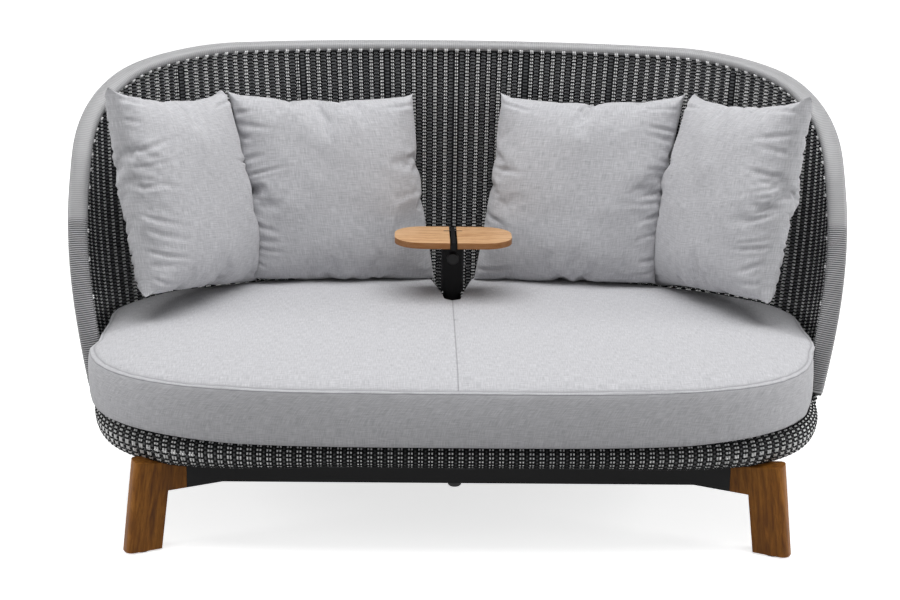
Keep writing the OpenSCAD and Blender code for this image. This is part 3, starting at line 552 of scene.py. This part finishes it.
def scatter(name, place, turn, lean, sway, shear, seed, ear, thick, side_draws):
    outer = math.copysign(1, place[0])
    gen = np.random.default_rng(seed)
    piece = sewn_panels(name, seed, gen)
    pick(piece)
    blow_up(piece)
    mesh = piece.data
    points = read(mesh.vertices, "co", 3)
    points -= (points.min(0) + points.max(0)) / 2
    draw_to_outline(points, ear, thick, side_draws if outer < 0 else side_draws[::-1])
    points[:, 0] += shear * points[:, 2]
    stand = (Matrix.Rotation(math.radians(turn), 3, "Z")
             @ Matrix.Rotation(math.radians(-lean), 3, "X")
             @ Matrix.Rotation(math.radians(sway), 3, "Y"))
    points = points @ np.array(stand).T + np.array(place)
    points[:, 2] = np.maximum(points[:, 2], seat_top)
    mesh.vertices.foreach_set("co", points.ravel())
    mesh.update()
    smooth = piece.modifiers.new("drape", "SUBSURF")
    smooth.levels = smooth.render_levels = 1
    bpy.ops.object.modifier_apply(modifier="drape")
    mesh.polygons.foreach_set("use_smooth", np.ones(len(mesh.polygons), bool))
    index = read(mesh.loops, "vertex_index", 1, np.int32).ravel()
    points = read(mesh.vertices, "co", 3)
    flat = np.zeros((len(points), 2))
    flat[index] = (read(mesh.uv_layers["cloth"].data, "uv", 2) - seed) / panel_half
    depth = crease_depth(flat[:, 0], flat[:, 1], outer, gen)
    points += read(mesh.vertex_normals, "vector", 3) * depth[:, None]
    rest_on_seat(points)
    clear_of_table(points)
    mesh.vertices.foreach_set("co", points.ravel())
    mesh.update()
    return piece


# Each cushion's place, turn, lean and sway in degrees, shear, seed, ears, thickness of
# a half, and the draws of its outer and its inner seam.
inner_form, outer_form = (0.01, 0.072, (0.06, 0.05)), (0.025, 0.080, (0.03, -0.07))
for name, place, turn, lean, sway, shear, seed, form in (
        ("inner_left", (-0.312, 0.358, 0.6700), 7.5, 7.5, 1.4, -0.14, 21, inner_form),
        ("inner_right", (0.312, 0.358, 0.6715), -7.5, 9.0, -1.6, 0.14, 22, inner_form),
        ("outer_left", (-0.660, 0.130, 0.7030), 64.5, 8.3, 8.8, -0.2, 23, outer_form),
        ("outer_right", (0.660, 0.130, 0.7060), -66.0, 7.4, -7.9, 0.2, 24, outer_form)):
    cover = scatter("scatter_cover_" + name, place, turn, lean, sway, shear, seed, *form)
    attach(cover, "scatter_" + name)
    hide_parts("scatter_" + name)

# Woven wall. Round extruded polyethylene strand, woven by hand over stakes on
# the frame: pairs of white stakes, groups of grey ones between them, and dark
# weavers that pass in front of one stake and behind the next.
lip_level, lip_radius, lip_top = 0.252, 0.031, 0.283
rim_start, rim_stop = -11.4, 191.4
rim_low, rim_climb, under_rim = 0.285, 0.731, 0.0133
climb_angle, climb_bend, reach_bend = 43.9, 0.515, 1.67
rim_form = (0.893, 0.554, 0.4365, 3.5, 2.07)
fullest, fullest_angle, fullest_span = 0.008, 14, 6.5
rim_inset, wall_bulge = 0.020, 0.020
wall_depth, weave_relief, weaver_half = 0.006, 0.0026, 0.0014
stake_sides, weaver_sides = 6, 5
# Sizes in pairs are those of the wall and of the lip in front.
stake_pitch, weaver_pitch = (0.0129, 0.0110), (0.0043, 0.0051)
white_stake = {"strands": (-1, 1), "spread": (0.00235, 0.00335), "half": (0.00165, 0.0020),
               "rise": 0.0032, "past_top": -0.003, "crossing": (0.0045, 0.0052)}
grey_stake = {"strands": (-1, 0, 1), "spread": (0.0033, 0.0012), "half": (0.0017, 0.0013),
              "rise": 0.0024, "past_top": 0.004, "crossing": (0.0050, 0.0026)}


def lip_out(a):
    t = unit(at_plan(a + 0.5, lip_plan(a + 0.5)) - at_plan(a - 0.5, lip_plan(a - 0.5)))
    return np.stack([t[..., 1], -t[..., 0], np.zeros_like(t[..., 0])], -1)


def at_lip(a, r, z=0.0):
    r = np.broadcast_to(r, np.shape(a))[..., None]
    return at_plan(a, lip_plan(a), z) + r * lip_out(a)


# The middle of the rim tube climbs steeply from its ends and levels out over the back.
# Where the tops of the scatter cushions meet it, it stands a little fuller.
def rim_middle(a):
    fold = np.where(a > 90, 180 - a, a)
    share = np.clip((fold - rim_start) / climb_angle, 0, 1)
    rise = np.sin(np.radians(90 * share ** climb_bend))
    reach = np.sin(np.radians(90 * np.minimum(1, rise * reach_bend)))[..., None]
    flat = at_lip(a, -rim_inset) * (1 - reach) + reach * at_plan(a, plan_radius(a, *rim_form))
    fuller = fullest * np.exp(-((fold - fullest_angle) / fullest_span) ** 2)
    flat = flat + (0.7 * fuller)[..., None] * lip_out(a)
    return flat + np.stack([0 * a, 0 * a, rim_low + rim_climb * rise + 0.7 * fuller], -1)


# The directions along the rim, out from it, and up through it.
def rim_frame(a):
    along = unit(rim_middle(np.minimum(a + 0.2, rim_stop))
                 - rim_middle(np.maximum(a - 0.2, rim_start)))
    out = at_plan(a, 1.0) - at_plan(a, 0.0)
    side = unit(out - along * np.sum(along * out, -1, keepdims=True))
    return along, side, np.cross(side, along)


# The skin is the outside of the wall. It is worked out as a table, four times in each
# degree of the plan and every 2.5 mm from the inner end of the lip up to the rim.
per_degree = 4
around = np.linspace(-90, 270, 360 * per_degree + 1)
has_rim = (around >= rim_start) & (around <= rim_stop)
on_rim = np.clip(around, rim_start, rim_stop)
top = np.where(has_rim[:, None], rim_middle(on_rim) - under_rim * rim_frame(on_rim)[2],
               at_lip(around, -lip_radius, lip_top))
tall = np.where(has_rim, np.clip((rim_middle(on_rim)[:, 2] - rim_low) / 0.2, 0, 1), 0)[:, None]
share = np.linspace(0, 1, 90)[None, :]
# Where there is no rim the skin rolls inwards in a quarter circle, to the top of the
# lip. A tall wall leans towards the rim in a curve, and bulges a little.
height_share = np.sin(np.radians(90 * share)) * (1 - tall) + share * tall
reach_share = ((1 - np.sqrt(np.maximum(0, 1 - height_share * height_share))) * (1 - tall)
               + height_share * height_share * tall)
foot = at_plan(around, lip_plan(around), lip_level)
swell = wall_bulge * np.clip((top[:, 2:3] - lip_top) / 0.3, 0, 1) * np.sin(np.pi * height_share)
wall = np.stack([foot[:, k:k + 1] * (1 - part) + top[:, k:k + 1] * part
                 for k, part in enumerate((reach_share, reach_share, height_share))], -1)
wall += swell[..., None] * lip_out(around)[:, None, :]
steps = np.linalg.norm(np.diff(wall, axis=1), axis=2)
length = np.concatenate([np.zeros((len(around), 1)), np.cumsum(steps, 1)], 1)
wall_length = length[:, -1]
line_step, line_low, line_high = 0.0025, -0.055, 0.84
lines = np.arange(line_low, line_high, line_step)
# Past its top the skin goes straight on, and below its foot it rolls under as the lip.
skin = np.zeros((len(around), len(lines), 3))
for i in range(len(around)):
    for k in range(3):
        skin[i, :, k] = np.interp(lines, length[i], wall[i, :, k])
    past = lines > wall_length[i]
    skin[i, past] = wall[i, -1] + (lines[past] - wall_length[i])[:, None] * unit(
        wall[i, -1] - wall[i, -4])
under = lines < 0
bend = lines[under] / lip_radius
skin[:, under] = at_lip(around, -lip_radius)[:, None, :] + np.array([0, 0, lip_level]) + (
    lip_radius * (np.cos(bend)[None, :, None] * lip_out(around)[:, None, :]
                  + np.sin(bend)[None, :, None] * np.array([0, 0, 1.0])))
# Seen against the photograph, the real lip is tucked in by up to 8 mm, and hangs up to
# 22 mm lower towards its ends.
dip = np.degrees(np.arcsin(-np.sin(np.radians(around))))
tuck_in = 0.008 * np.exp(-((dip - 14) / 14) ** 2)[:, None] * np.clip(
    (0.15 - lines) / 0.12, 0, 1)[None, :]
skin -= tuck_in[..., None] * lip_out(around)[:, None, :]
deepest = np.where(around > 90, 0.022, 0.015)
sag = deepest * np.clip((dip + 10) / 25, 0, 1) * np.clip((62 - dip) / 25, 0, 1)
skin[:, under, 2] += sag[:, None] * np.sin(bend)[None, :]
skin_along = unit(np.gradient(skin, axis=0))
skin_along[0] = skin_along[-1] = unit(skin[1] - skin[-2])
skin_out = unit(np.cross(skin_along, np.gradient(skin, axis=1)))


# What a table says at a plan angle and at a height along the skin.
def on_skin(table, a, line):
    u = (np.asarray(a) + 90) % 360 * per_degree
    v = np.clip((np.asarray(line) - line_low) / line_step, 0, len(lines) - 1.001)
    i, j = np.floor(u).astype(int), np.floor(v).astype(int)
    past_i, past_j = (u - i)[..., None], (v - j)[..., None]
    next_i = (i + 1) % len(around)
    return ((table[i, j] * (1 - past_i) + table[next_i, j] * past_i) * (1 - past_j)
            + (table[i, j + 1] * (1 - past_i) + table[next_i, j + 1] * past_i) * past_j)


# A strand of oval section, or a flat strip where it has four sides.
def tube(middle, side, rise, half_side, half_rise, sides, closed=False):
    turn = 2 * np.pi * (np.arange(sides) + 0.5 * (sides == 4)) / sides + np.pi / 2
    ring = (np.cos(turn)[None, :, None] * side[:, None, :] * np.reshape(half_side, (-1, 1, 1))
            + np.sin(turn)[None, :, None] * rise[:, None, :] * np.reshape(half_rise, (-1, 1, 1)))
    turned = np.dot(np.cross(side[0], rise[0]), middle[1] - middle[0]) < 0
    return ((middle[:, None, :] + ring).reshape(-1, 3),
            *ring_faces(len(middle), sides, closed, turned))


# A finish whose colour drifts between two tones. Its grain, where it has one, is given
# by its noise, its strength and its depth in metres.
def finish(name, tones, drift, grain, surface):
    material, tree = blank(name)
    place = add(tree, "ShaderNodeTexCoord")
    clouds = add(tree, "ShaderNodeTexNoise", drift, {"Vector": place.outputs["Object"]})
    colour = add(tree, "ShaderNodeMix",
                 {"data_type": "RGBA", 6: linear(tones[0]), 7: linear(tones[1])},
                 {0: clouds.outputs["Fac"]})
    sources = {"Base Color": colour.outputs[2]}
    if grain:
        noise, strength, depth = grain
        specks = add(tree, "ShaderNodeTexNoise", noise, {"Vector": place.outputs["Object"]})
        bump = add(tree, "ShaderNodeBump", {"Strength": strength, "Distance": depth},
                   {"Height": specks.outputs["Fac"]})
        sources["Normal"] = bump.outputs[0]
    shader = add(tree, "ShaderNodeBsdfPrincipled", surface, sources)
    add(tree, "ShaderNodeOutputMaterial", {}, {"Surface": shader.outputs[0]})
    return material


# Extruded polyethylene, matt with a faint satin line along the strand. The dark
# strand is dyed through, a little uneven from reel to reel.
weaver_strand = finish("extruded_polyethylene_dark", ("060607", "101112"),
                       {"Scale": 14.0, "Detail": 2.0}, ({"Scale": 900.0}, 0.15, 0.0003),
                       {"Roughness": 0.7, "IOR": 1.51, "Specular IOR Level": 0.12})

stake_strand, tree = blank("extruded_polyethylene_white_and_grey")
tone = add(tree, "ShaderNodeAttribute", {"attribute_name": "shade"})
place = add(tree, "ShaderNodeTexCoord")
ramp = add(tree, "ShaderNodeValToRGB", {}, {0: tone.outputs["Fac"]})
for element, (position, code) in zip(
        [ramp.color_ramp.elements[0], ramp.color_ramp.elements[1],
         ramp.color_ramp.elements.new(0.5)], ((0.0, "141516"), (1.0, "FBFBFB"), (0.5, "7C7E82"))):
    element.color = linear(code)
    element.position = position
grain = add(tree, "ShaderNodeTexNoise", {"Scale": 700.0}, {"Vector": place.outputs["Object"]})
bump = add(tree, "ShaderNodeBump", {"Strength": 0.15, "Distance": 0.0003},
           {"Height": grain.outputs["Fac"]})
plastic = add(tree, "ShaderNodeBsdfPrincipled", {"Roughness": 0.48, "IOR": 1.51},
              {"Base Color": ramp.outputs[0], "Normal": bump.outputs[0]})
add(tree, "ShaderNodeOutputMaterial", {}, {"Surface": plastic.outputs[0]})

# The stakes stand at even steps along the lip, a little closer in front. There the
# loose share is 1, and on the wall it is 0.
travelled = walked_along(at_plan(around, lip_plan(around)))
loose = 1 - np.clip((np.sin(np.radians(around)) + 0.26) / 0.10, 0, 1)
count = np.concatenate([[0], np.cumsum(np.diff(travelled) / between(
    stake_pitch, (loose[1:] + loose[:-1]) / 2))])
stake_total = int(round(count[-1] / 2)) * 2
stake_angles = np.interp(np.arange(stake_total) * count[-1] / stake_total, count, around)
stake_loose = np.interp(stake_angles, around, loose)
stake_top = np.interp(stake_angles, around, wall_length)
is_white = np.arange(stake_total) % 2 == 0
# The end of a white stake is turned round the inner side of the rim: how far below the
# rim's middle it lies, and how far inside.
turned_end = ((0.0128, 0.0110), (0.0112, 0.0195), (0.0062, 0.0238))
stake_lines = np.concatenate([np.arange(-0.052, 0.06, 0.009), np.arange(0.07, 0.8, 0.016)])
white_made, grey_made = [], []
for k in range(stake_total):
    a, top_line, loose_here = stake_angles[k], stake_top[k], stake_loose[k]
    stake = white_stake if is_white[k] else grey_stake
    line = np.append(stake_lines[stake_lines < top_line - 0.008], top_line + stake["past_top"])
    along, out = on_skin(skin_along, a, line), on_skin(skin_out, a, line)
    middle = on_skin(skin, a, line) - wall_depth * out
    if is_white[k] and rim_start + 0.4 < a < rim_stop - 0.4:
        run, side_way, rise_way = rim_frame(np.array([a]))
        hub = rim_middle(np.array([a]))
        middle = np.concatenate([middle] + [hub - below * rise_way - inside * side_way
                                            for below, inside in turned_end])
        along = np.concatenate([along, run, run, run])
        out = np.concatenate([out, rise_way, unit(rise_way + side_way), side_way])
    for beside in stake["strands"]:
        part = tube(middle + beside * between(stake["spread"], loose_here) * along, along, out,
                    between(stake["half"], loose_here), stake["rise"], stake_sides)
        if is_white[k]:
            white_made.append((part, 0.93 + 0.07 * math.sin(k * 1.7 + beside)))
        else:
            tone = 0.31 + 0.06 * math.sin(k * 2.3 + beside)
            grey_made.append((part, tone * (1 - 0.75 * loose_here)))
stakes = []
for name, made in (("white_stakes", white_made), ("grey_stakes", grey_made)):
    cut = len(made) // 2
    for side, some in (("_left", made[:cut]), ("_right", made[cut:])):
        stakes.append(mesh_piece(name + side, [part for part, tone in some], stake_strand,
                                 [np.full(len(part[0]), tone) for part, tone in some]))

# Weavers, row by row: each passes straight across the stakes that stand at its height,
# in front of one and behind the next, the other way round in the next row. They are
# joined in groups of about 29 rows.
lip_end, group_total, used_rows = 0.05, 6, 172
rows = np.concatenate([np.arange(-0.0515, lip_end, weaver_pitch[1]),
                       np.arange(0.0545, 0.80, weaver_pitch[0])])
weaver_groups = [[] for group in range(group_total)]
for row, line in enumerate(rows):
    on_lip = line < lip_end
    held = np.ones(stake_total, bool) if on_lip else stake_top > line - 0.002
    if held.sum() < 4:
        continue
    crossed = np.nonzero(held)[0]
    closed = bool(held.all())
    if not closed:
        gap = np.nonzero(np.diff(crossed) > 1)[0]
        if len(gap):
            crossed = np.concatenate([crossed[gap[0] + 1:], crossed[:gap[0] + 1]])
    loose_here = stake_loose[crossed]
    crossing = np.where(is_white[crossed], between(white_stake["crossing"], loose_here),
                        between(grey_stake["crossing"], loose_here))
    a = np.repeat(stake_angles[crossed], 2)
    offset = np.stack([-crossing, crossing], 1).ravel()
    relief = np.repeat(np.where((crossed + row) % 2 == 0, 1.0, -1.0) * weave_relief, 2)
    middle, along, out = (on_skin(table, a, line) for table in (skin, skin_along, skin_out))
    # The weavers lie closest on the back, and more openly on the lip.
    in_front = 0.46 + 0.18 * (0.2 if on_lip else np.exp(-((a - 90) / 62) ** 4))
    height = weaver_pitch[int(on_lip)] * np.where(relief > 0, in_front, 0.50)
    part = tube(middle + (relief - wall_depth)[:, None] * out + offset[:, None] * along,
                np.cross(out, along), out, height, weaver_half, weaver_sides, closed)
    weaver_groups[min(group_total - 1, int(group_total * row / used_rows))].append(part)
weavers = [mesh_piece("dark_weavers_%d" % (group + 1), parts, weaver_strand)
           for group, parts in enumerate(weaver_groups) if parts]
for piece in stakes + weavers:
    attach(piece, "frame")
    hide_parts("woven_basket")

# Wound rim. A flat oval tube, wound turn by turn with a light flat strand; the
# turns lie close over the top and open a little towards the two lower ends.
turn_pitch, rim_sides, rim_samples = 0.005, 18, 6001
rim_half_wide, rim_half_high = 0.0235, 0.0130
core_half_wide, core_half_high = 0.0205, 0.0105
# Along one turn: how far on, and whether the strand is at the gap between two turns.
turn_form = ((0.0, 1.0), (0.22, 1.0), (0.38, 0.0), (0.80, 0.0))
fine = np.linspace(rim_start, rim_stop, rim_samples)
walked = walked_along(rim_middle(fine))
turns = int(walked[-1] / turn_pitch)
places = np.array([(turn + on) * turn_pitch for turn in range(turns) for on, gap in turn_form]
                  + [turns * turn_pitch])
gaps = np.array([gap for on, gap in turn_form] * turns + [1.0])
a = np.interp(places, walked, fine)
middle = rim_middle(a)
along, side, rise = rim_frame(a)
# Below a height of 66 cm the turns lie open, with deeper and darker gaps.
open_turns = 1 - np.clip((middle[:, 2] - 0.66) / 0.015, 0, 1)
groove = gaps * (0.0003 + 0.0015 * open_turns)
turn = 2 * np.pi * np.arange(rim_sides) / rim_sides


def oval(c):
    return np.sign(c) * np.abs(c) ** 0.85


ring = ((rim_half_wide - groove)[:, None, None] * oval(np.cos(turn))[None, :, None]
        * side[:, None, :]
        + (rim_half_high - groove)[:, None, None] * oval(np.sin(turn))[None, :, None]
        * rise[:, None, :])
points = (middle[:, None, :] + ring).reshape(-1, 3)
quads, ends = ring_faces(len(places), rim_sides,
                         turned=np.dot(np.cross(side[0], rise[0]), along[0]) < 0)

wound_strand, tree = blank("wound_flat_polyethylene_light_grey")
tone = add(tree, "ShaderNodeAttribute", {"attribute_name": "shade"})
place = add(tree, "ShaderNodeTexCoord")
reel = add(tree, "ShaderNodeTexNoise", {"Scale": 30.0, "Detail": 3.0},
           {"Vector": place.outputs["Object"]})
dye = add(tree, "ShaderNodeMix", {"data_type": "RGBA", 6: linear("949495"), 7: linear("A1A1A3")},
          {0: reel.outputs["Fac"]})
dark = add(tree, "ShaderNodeMix", {"data_type": "RGBA", 7: linear("161616")},
           {0: tone.outputs["Fac"], 6: dye.outputs[2]})
plastic = add(tree, "ShaderNodeBsdfPrincipled", {"Roughness": 0.42, "IOR": 1.51},
              {"Base Color": dark.outputs[2]})
add(tree, "ShaderNodeOutputMaterial", {}, {"Surface": plastic.outputs[0]})
shades = np.repeat(gaps * (0.22 + 0.78 * open_turns), rim_sides)
wound_rim = mesh_piece("wound_rim", [(points, quads, ends)], wound_strand, [shades])
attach(wound_rim, "frame")
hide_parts("rim_binding")

# Polyester powder coat on aluminium, in the charcoal of the weave.
coated_aluminium = finish(
    "powder_coated_aluminium_charcoal", ("1B1C1E", "232427"), {"Scale": 420.0, "Detail": 2.0},
    ({"Scale": 420.0, "Detail": 2.0}, 0.2, 0.0003),
    {"Roughness": 0.55, "IOR": 1.5, "Specular IOR Level": 0.25})
a = np.linspace(rim_start, rim_stop, 240)
along, side, rise = rim_frame(a)
rim_core = mesh_piece("rim_core", [tube(rim_middle(a), side, rise, core_half_wide,
                                        core_half_high, 12)], coated_aluminium)
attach(rim_core, "frame")
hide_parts("rim_tube")

# Base. Two hollow rails of coated steel with splayed arms, and four solid teak
# legs that are bolted to the arms; under the front rail sits a round plug.


# A CAD node with its flat faces joined and its edges rounded off.
def softened(node, name, radius, segments=3):
    mesh = nodes[node].data.copy()
    mesh.materials.clear()
    piece = bpy.data.objects.new(name, mesh)
    scene.collection.objects.link(piece)
    shape = bmesh.new()
    shape.from_mesh(mesh)
    bmesh.ops.remove_doubles(shape, verts=shape.verts, dist=2e-5)
    bmesh.ops.dissolve_limit(shape, angle_limit=math.radians(0.6), verts=shape.verts,
                             edges=shape.edges)
    shape.to_mesh(mesh)
    shape.free()
    pick(piece)
    bevel = piece.modifiers.new("edge", "BEVEL")
    bevel.width, bevel.segments = radius, segments
    bevel.limit_method, bevel.angle_limit = "ANGLE", math.radians(32)
    bevel.harden_normals = False
    bpy.ops.object.modifier_apply(modifier="edge")
    bpy.ops.object.shade_smooth_by_angle(angle=math.radians(28))
    return piece


# Polyester powder coat on steel: satin black with a fine orange-peel skin.
coated_steel = finish(
    "powder_coated_steel_black", ("0B0B0C", "121213"), {"Scale": 5.0, "Detail": 4.0},
    ({"Scale": 420.0, "Detail": 2.0}, 0.25, 0.0004),
    {"Roughness": 0.5, "IOR": 1.5, "Specular IOR Level": 0.12})

# Moulded nylon, black and matt, for plug, glides and knob.
black_nylon, tree = blank("moulded_nylon_black")
place = add(tree, "ShaderNodeTexCoord")
grain = add(tree, "ShaderNodeTexNoise", {"Scale": 1100.0}, {"Vector": place.outputs["Object"]})
bump = add(tree, "ShaderNodeBump", {"Strength": 0.2, "Distance": 0.0002},
           {"Height": grain.outputs["Fac"]})
shell = add(tree, "ShaderNodeBsdfPrincipled",
            {"Base Color": linear("0E0E0F"), "Roughness": 0.55, "IOR": 1.53,
             "Specular IOR Level": 0.3},
            {"Normal": bump.outputs[0]})
add(tree, "ShaderNodeOutputMaterial", {}, {"Surface": shell.outputs[0]})


def dress(material, *names):
    for name in names:
        nodes[name].data.materials.clear()
        nodes[name].data.materials.append(material)


for node, name in (("base_rail_front", "front_rail"), ("base_rail_rear", "rear_rail")):
    rail = softened(node, name, 0.0018)
    rail.data.materials.append(coated_steel)
    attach(rail, "frame")
    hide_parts(node)
dress(black_nylon, "rail_plug", "leg_glides")

# Oiled plantation teak. Straight grain follows the lean of each leg: bands of
# about 9 mm, pores of about 1 mm and a slow drift from board to board.


def teak(name, light, middle_tone, deep, lean, along_x, offset, side_shade_share=0.0):
    material, tree = blank(name)
    place = add(tree, "ShaderNodeTexCoord")
    turned = add(tree, "ShaderNodeMapping", {"Location": offset, "Rotation": lean},
                 {"Vector": place.outputs["Object"]})
    bands_scale = (14.0, 120.0, 120.0) if along_x else (120.0, 120.0, 14.0)
    pores_scale = (60.0, 900.0, 900.0) if along_x else (900.0, 900.0, 60.0)
    stretched = add(tree, "ShaderNodeMapping", {"Scale": bands_scale},
                    {"Vector": turned.outputs[0]})
    bands = add(tree, "ShaderNodeTexNoise", {"Scale": 1.0, "Detail": 5.0, "Distortion": 0.6},
                {"Vector": stretched.outputs[0]})
    fibres = add(tree, "ShaderNodeMapping", {"Scale": pores_scale},
                 {"Vector": turned.outputs[0]})
    pores = add(tree, "ShaderNodeTexNoise", {"Scale": 1.0, "Detail": 3.0},
                {"Vector": fibres.outputs[0]})
    drift = add(tree, "ShaderNodeTexNoise", {"Scale": 9.0, "Detail": 2.0},
                {"Vector": turned.outputs[0]})
    both = add(tree, "ShaderNodeMath", {"operation": "MULTIPLY_ADD", 1: 0.35},
               {0: drift.outputs["Fac"], 2: bands.outputs["Fac"]})
    figure = add(tree, "ShaderNodeValToRGB", {}, {0: both.outputs[0]})
    figure.color_ramp.elements[0].position = 0.42
    figure.color_ramp.elements[0].color = linear(deep)
    figure.color_ramp.elements[1].position = 0.92
    figure.color_ramp.elements[1].color = linear(light)
    figure.color_ramp.elements.new(0.66).color = linear(middle_tone)
    dots = add(tree, "ShaderNodeMapRange", {"From Min": 0.36, "From Max": 0.44,
                                            "To Min": 0.55, "To Max": 0.0},
               {"Value": pores.outputs["Fac"]})
    colour = add(tree, "ShaderNodeMix", {"data_type": "RGBA", 7: linear(deep)},
                 {0: dots.outputs[0], 6: figure.outputs[0]})
    # Painted shade: faces turned away from up, the edges and underside of a table top, are mixed
    # towards a darker brown; the legs get none.
    facing = add(tree, "ShaderNodeNewGeometry")
    tilt = add(tree, "ShaderNodeSeparateXYZ", {}, {0: facing.outputs["Normal"]})
    painted_side_shade = add(tree, "ShaderNodeMapRange", {"From Min": 0.25, "From Max": 0.75,
                                                "To Min": side_shade_share, "To Max": 0.0},
                   {"Value": tilt.outputs["Z"]})
    colour = add(tree, "ShaderNodeMix", {"data_type": "RGBA", 7: linear("7C4A1E")},
                 {0: painted_side_shade.outputs[0], 6: colour.outputs[2]})
    bump = add(tree, "ShaderNodeBump", {"Strength": 0.25, "Distance": 0.0004},
               {"Height": pores.outputs["Fac"]})
    wood = add(tree, "ShaderNodeBsdfPrincipled",
               {"Roughness": 0.55, "IOR": 1.5, "Specular IOR Level": 0.2},
               {"Base Color": colour.outputs[2], "Normal": bump.outputs[0]})
    add(tree, "ShaderNodeOutputMaterial", {}, {"Surface": wood.outputs[0]})
    return material


corner_reach = 0.018
for corner, lean_x in (("front_left", 1), ("front_right", -1), ("rear_left", 1),
                       ("rear_right", -1)):
    leg = softened("leg_" + corner, "teak_leg_" + corner, 0.0028, 4)
    # Seen in the photograph, the outer top corner reaches up to the woven lip.
    for point in leg.data.vertices:
        outer = min(1, max(0, (abs(point.co.x) - 0.63) / 0.11))
        upper = min(1, max(0, (point.co.z - 0.15) / 0.04))
        point.co.z += corner_reach * outer * upper
    leg.data.materials.append(teak(
        "oiled_teak_leg_" + corner, "9A6628", "7C4C18", "4E2C0A",
        (math.radians(3.5), math.radians(-6.8) * lean_x, 0), False,
        (0.7 * lean_x, len(corner) * 0.31, 0.2)))
    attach(leg, "frame")
    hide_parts("leg_" + corner)

# Hidden frame. Welded aluminium cross rails, slats and seat ring, coated in the
# charcoal of the weave, with zinc-plated bolts, all under the cushion. The flat
# uprights are drawn as thin strips in the middle of the weave that hides them.
plated_steel = finish("zinc_plated_steel", ("A3A6A8", "BCBEBF"), {"Scale": 160.0}, None,
                      {"Metallic": 1.0, "Roughness": 0.32})
dress(coated_aluminium, "cross_rails", "seat_slats", "seat_ring")
upright_total, first_upright, last_upright = 7, 22, 158
upright_half_wide, upright_half_thick = 0.0155, 0.0012
strips = []
for a in np.linspace(first_upright, last_upright, upright_total):
    line = np.linspace(0.004, np.interp(a, around, wall_length) * 0.985, 26)
    out = on_skin(skin_out, a, line)
    strips.append(tube(on_skin(skin, a, line) - wall_depth * out, on_skin(skin_along, a, line),
                       out, upright_half_wide, upright_half_thick, 4))
uprights = mesh_piece("upright_strips", strips, coated_aluminium)
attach(uprights, "frame")
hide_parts("back_uprights")
dress(plated_steel, "leg_tenons", "leg_bolts", "frame_bolts", "post_pin", "clamp_screw",
      "bracket_screws")

# Swivel table. A coated steel post with a nylon cap, a sleeve that turns on two
# bushes and is held by a clamp knob, and a two-part teak top on a cross bracket.
milky_nylon = finish("moulded_nylon_milky", ("DEDBD2", "EAE8E0"), {"Scale": 90.0}, None,
                     {"Roughness": 0.45, "IOR": 1.53})
dress(milky_nylon, "post_cap", "bush_lower", "bush_upper")
dress(coated_steel, "table_post", "swivel_sleeve", "table_bracket")
dress(black_nylon, "clamp_knob")
for node, name, offset in (("table_half_left", "table_top_left", (0.1, 0.2, 0.3)),
                           ("table_half_right", "table_top_right", (0.6, 0.4, 0.1))):
    half = softened(node, name, 0.0022, 3)
    half.data.materials.append(teak("sanded_teak_" + name, "D2AC86", "C29A72", "9A6C44",
                                    (0, 0, 0), True, offset, 0.75))
    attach(half, "table")
    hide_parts(node)
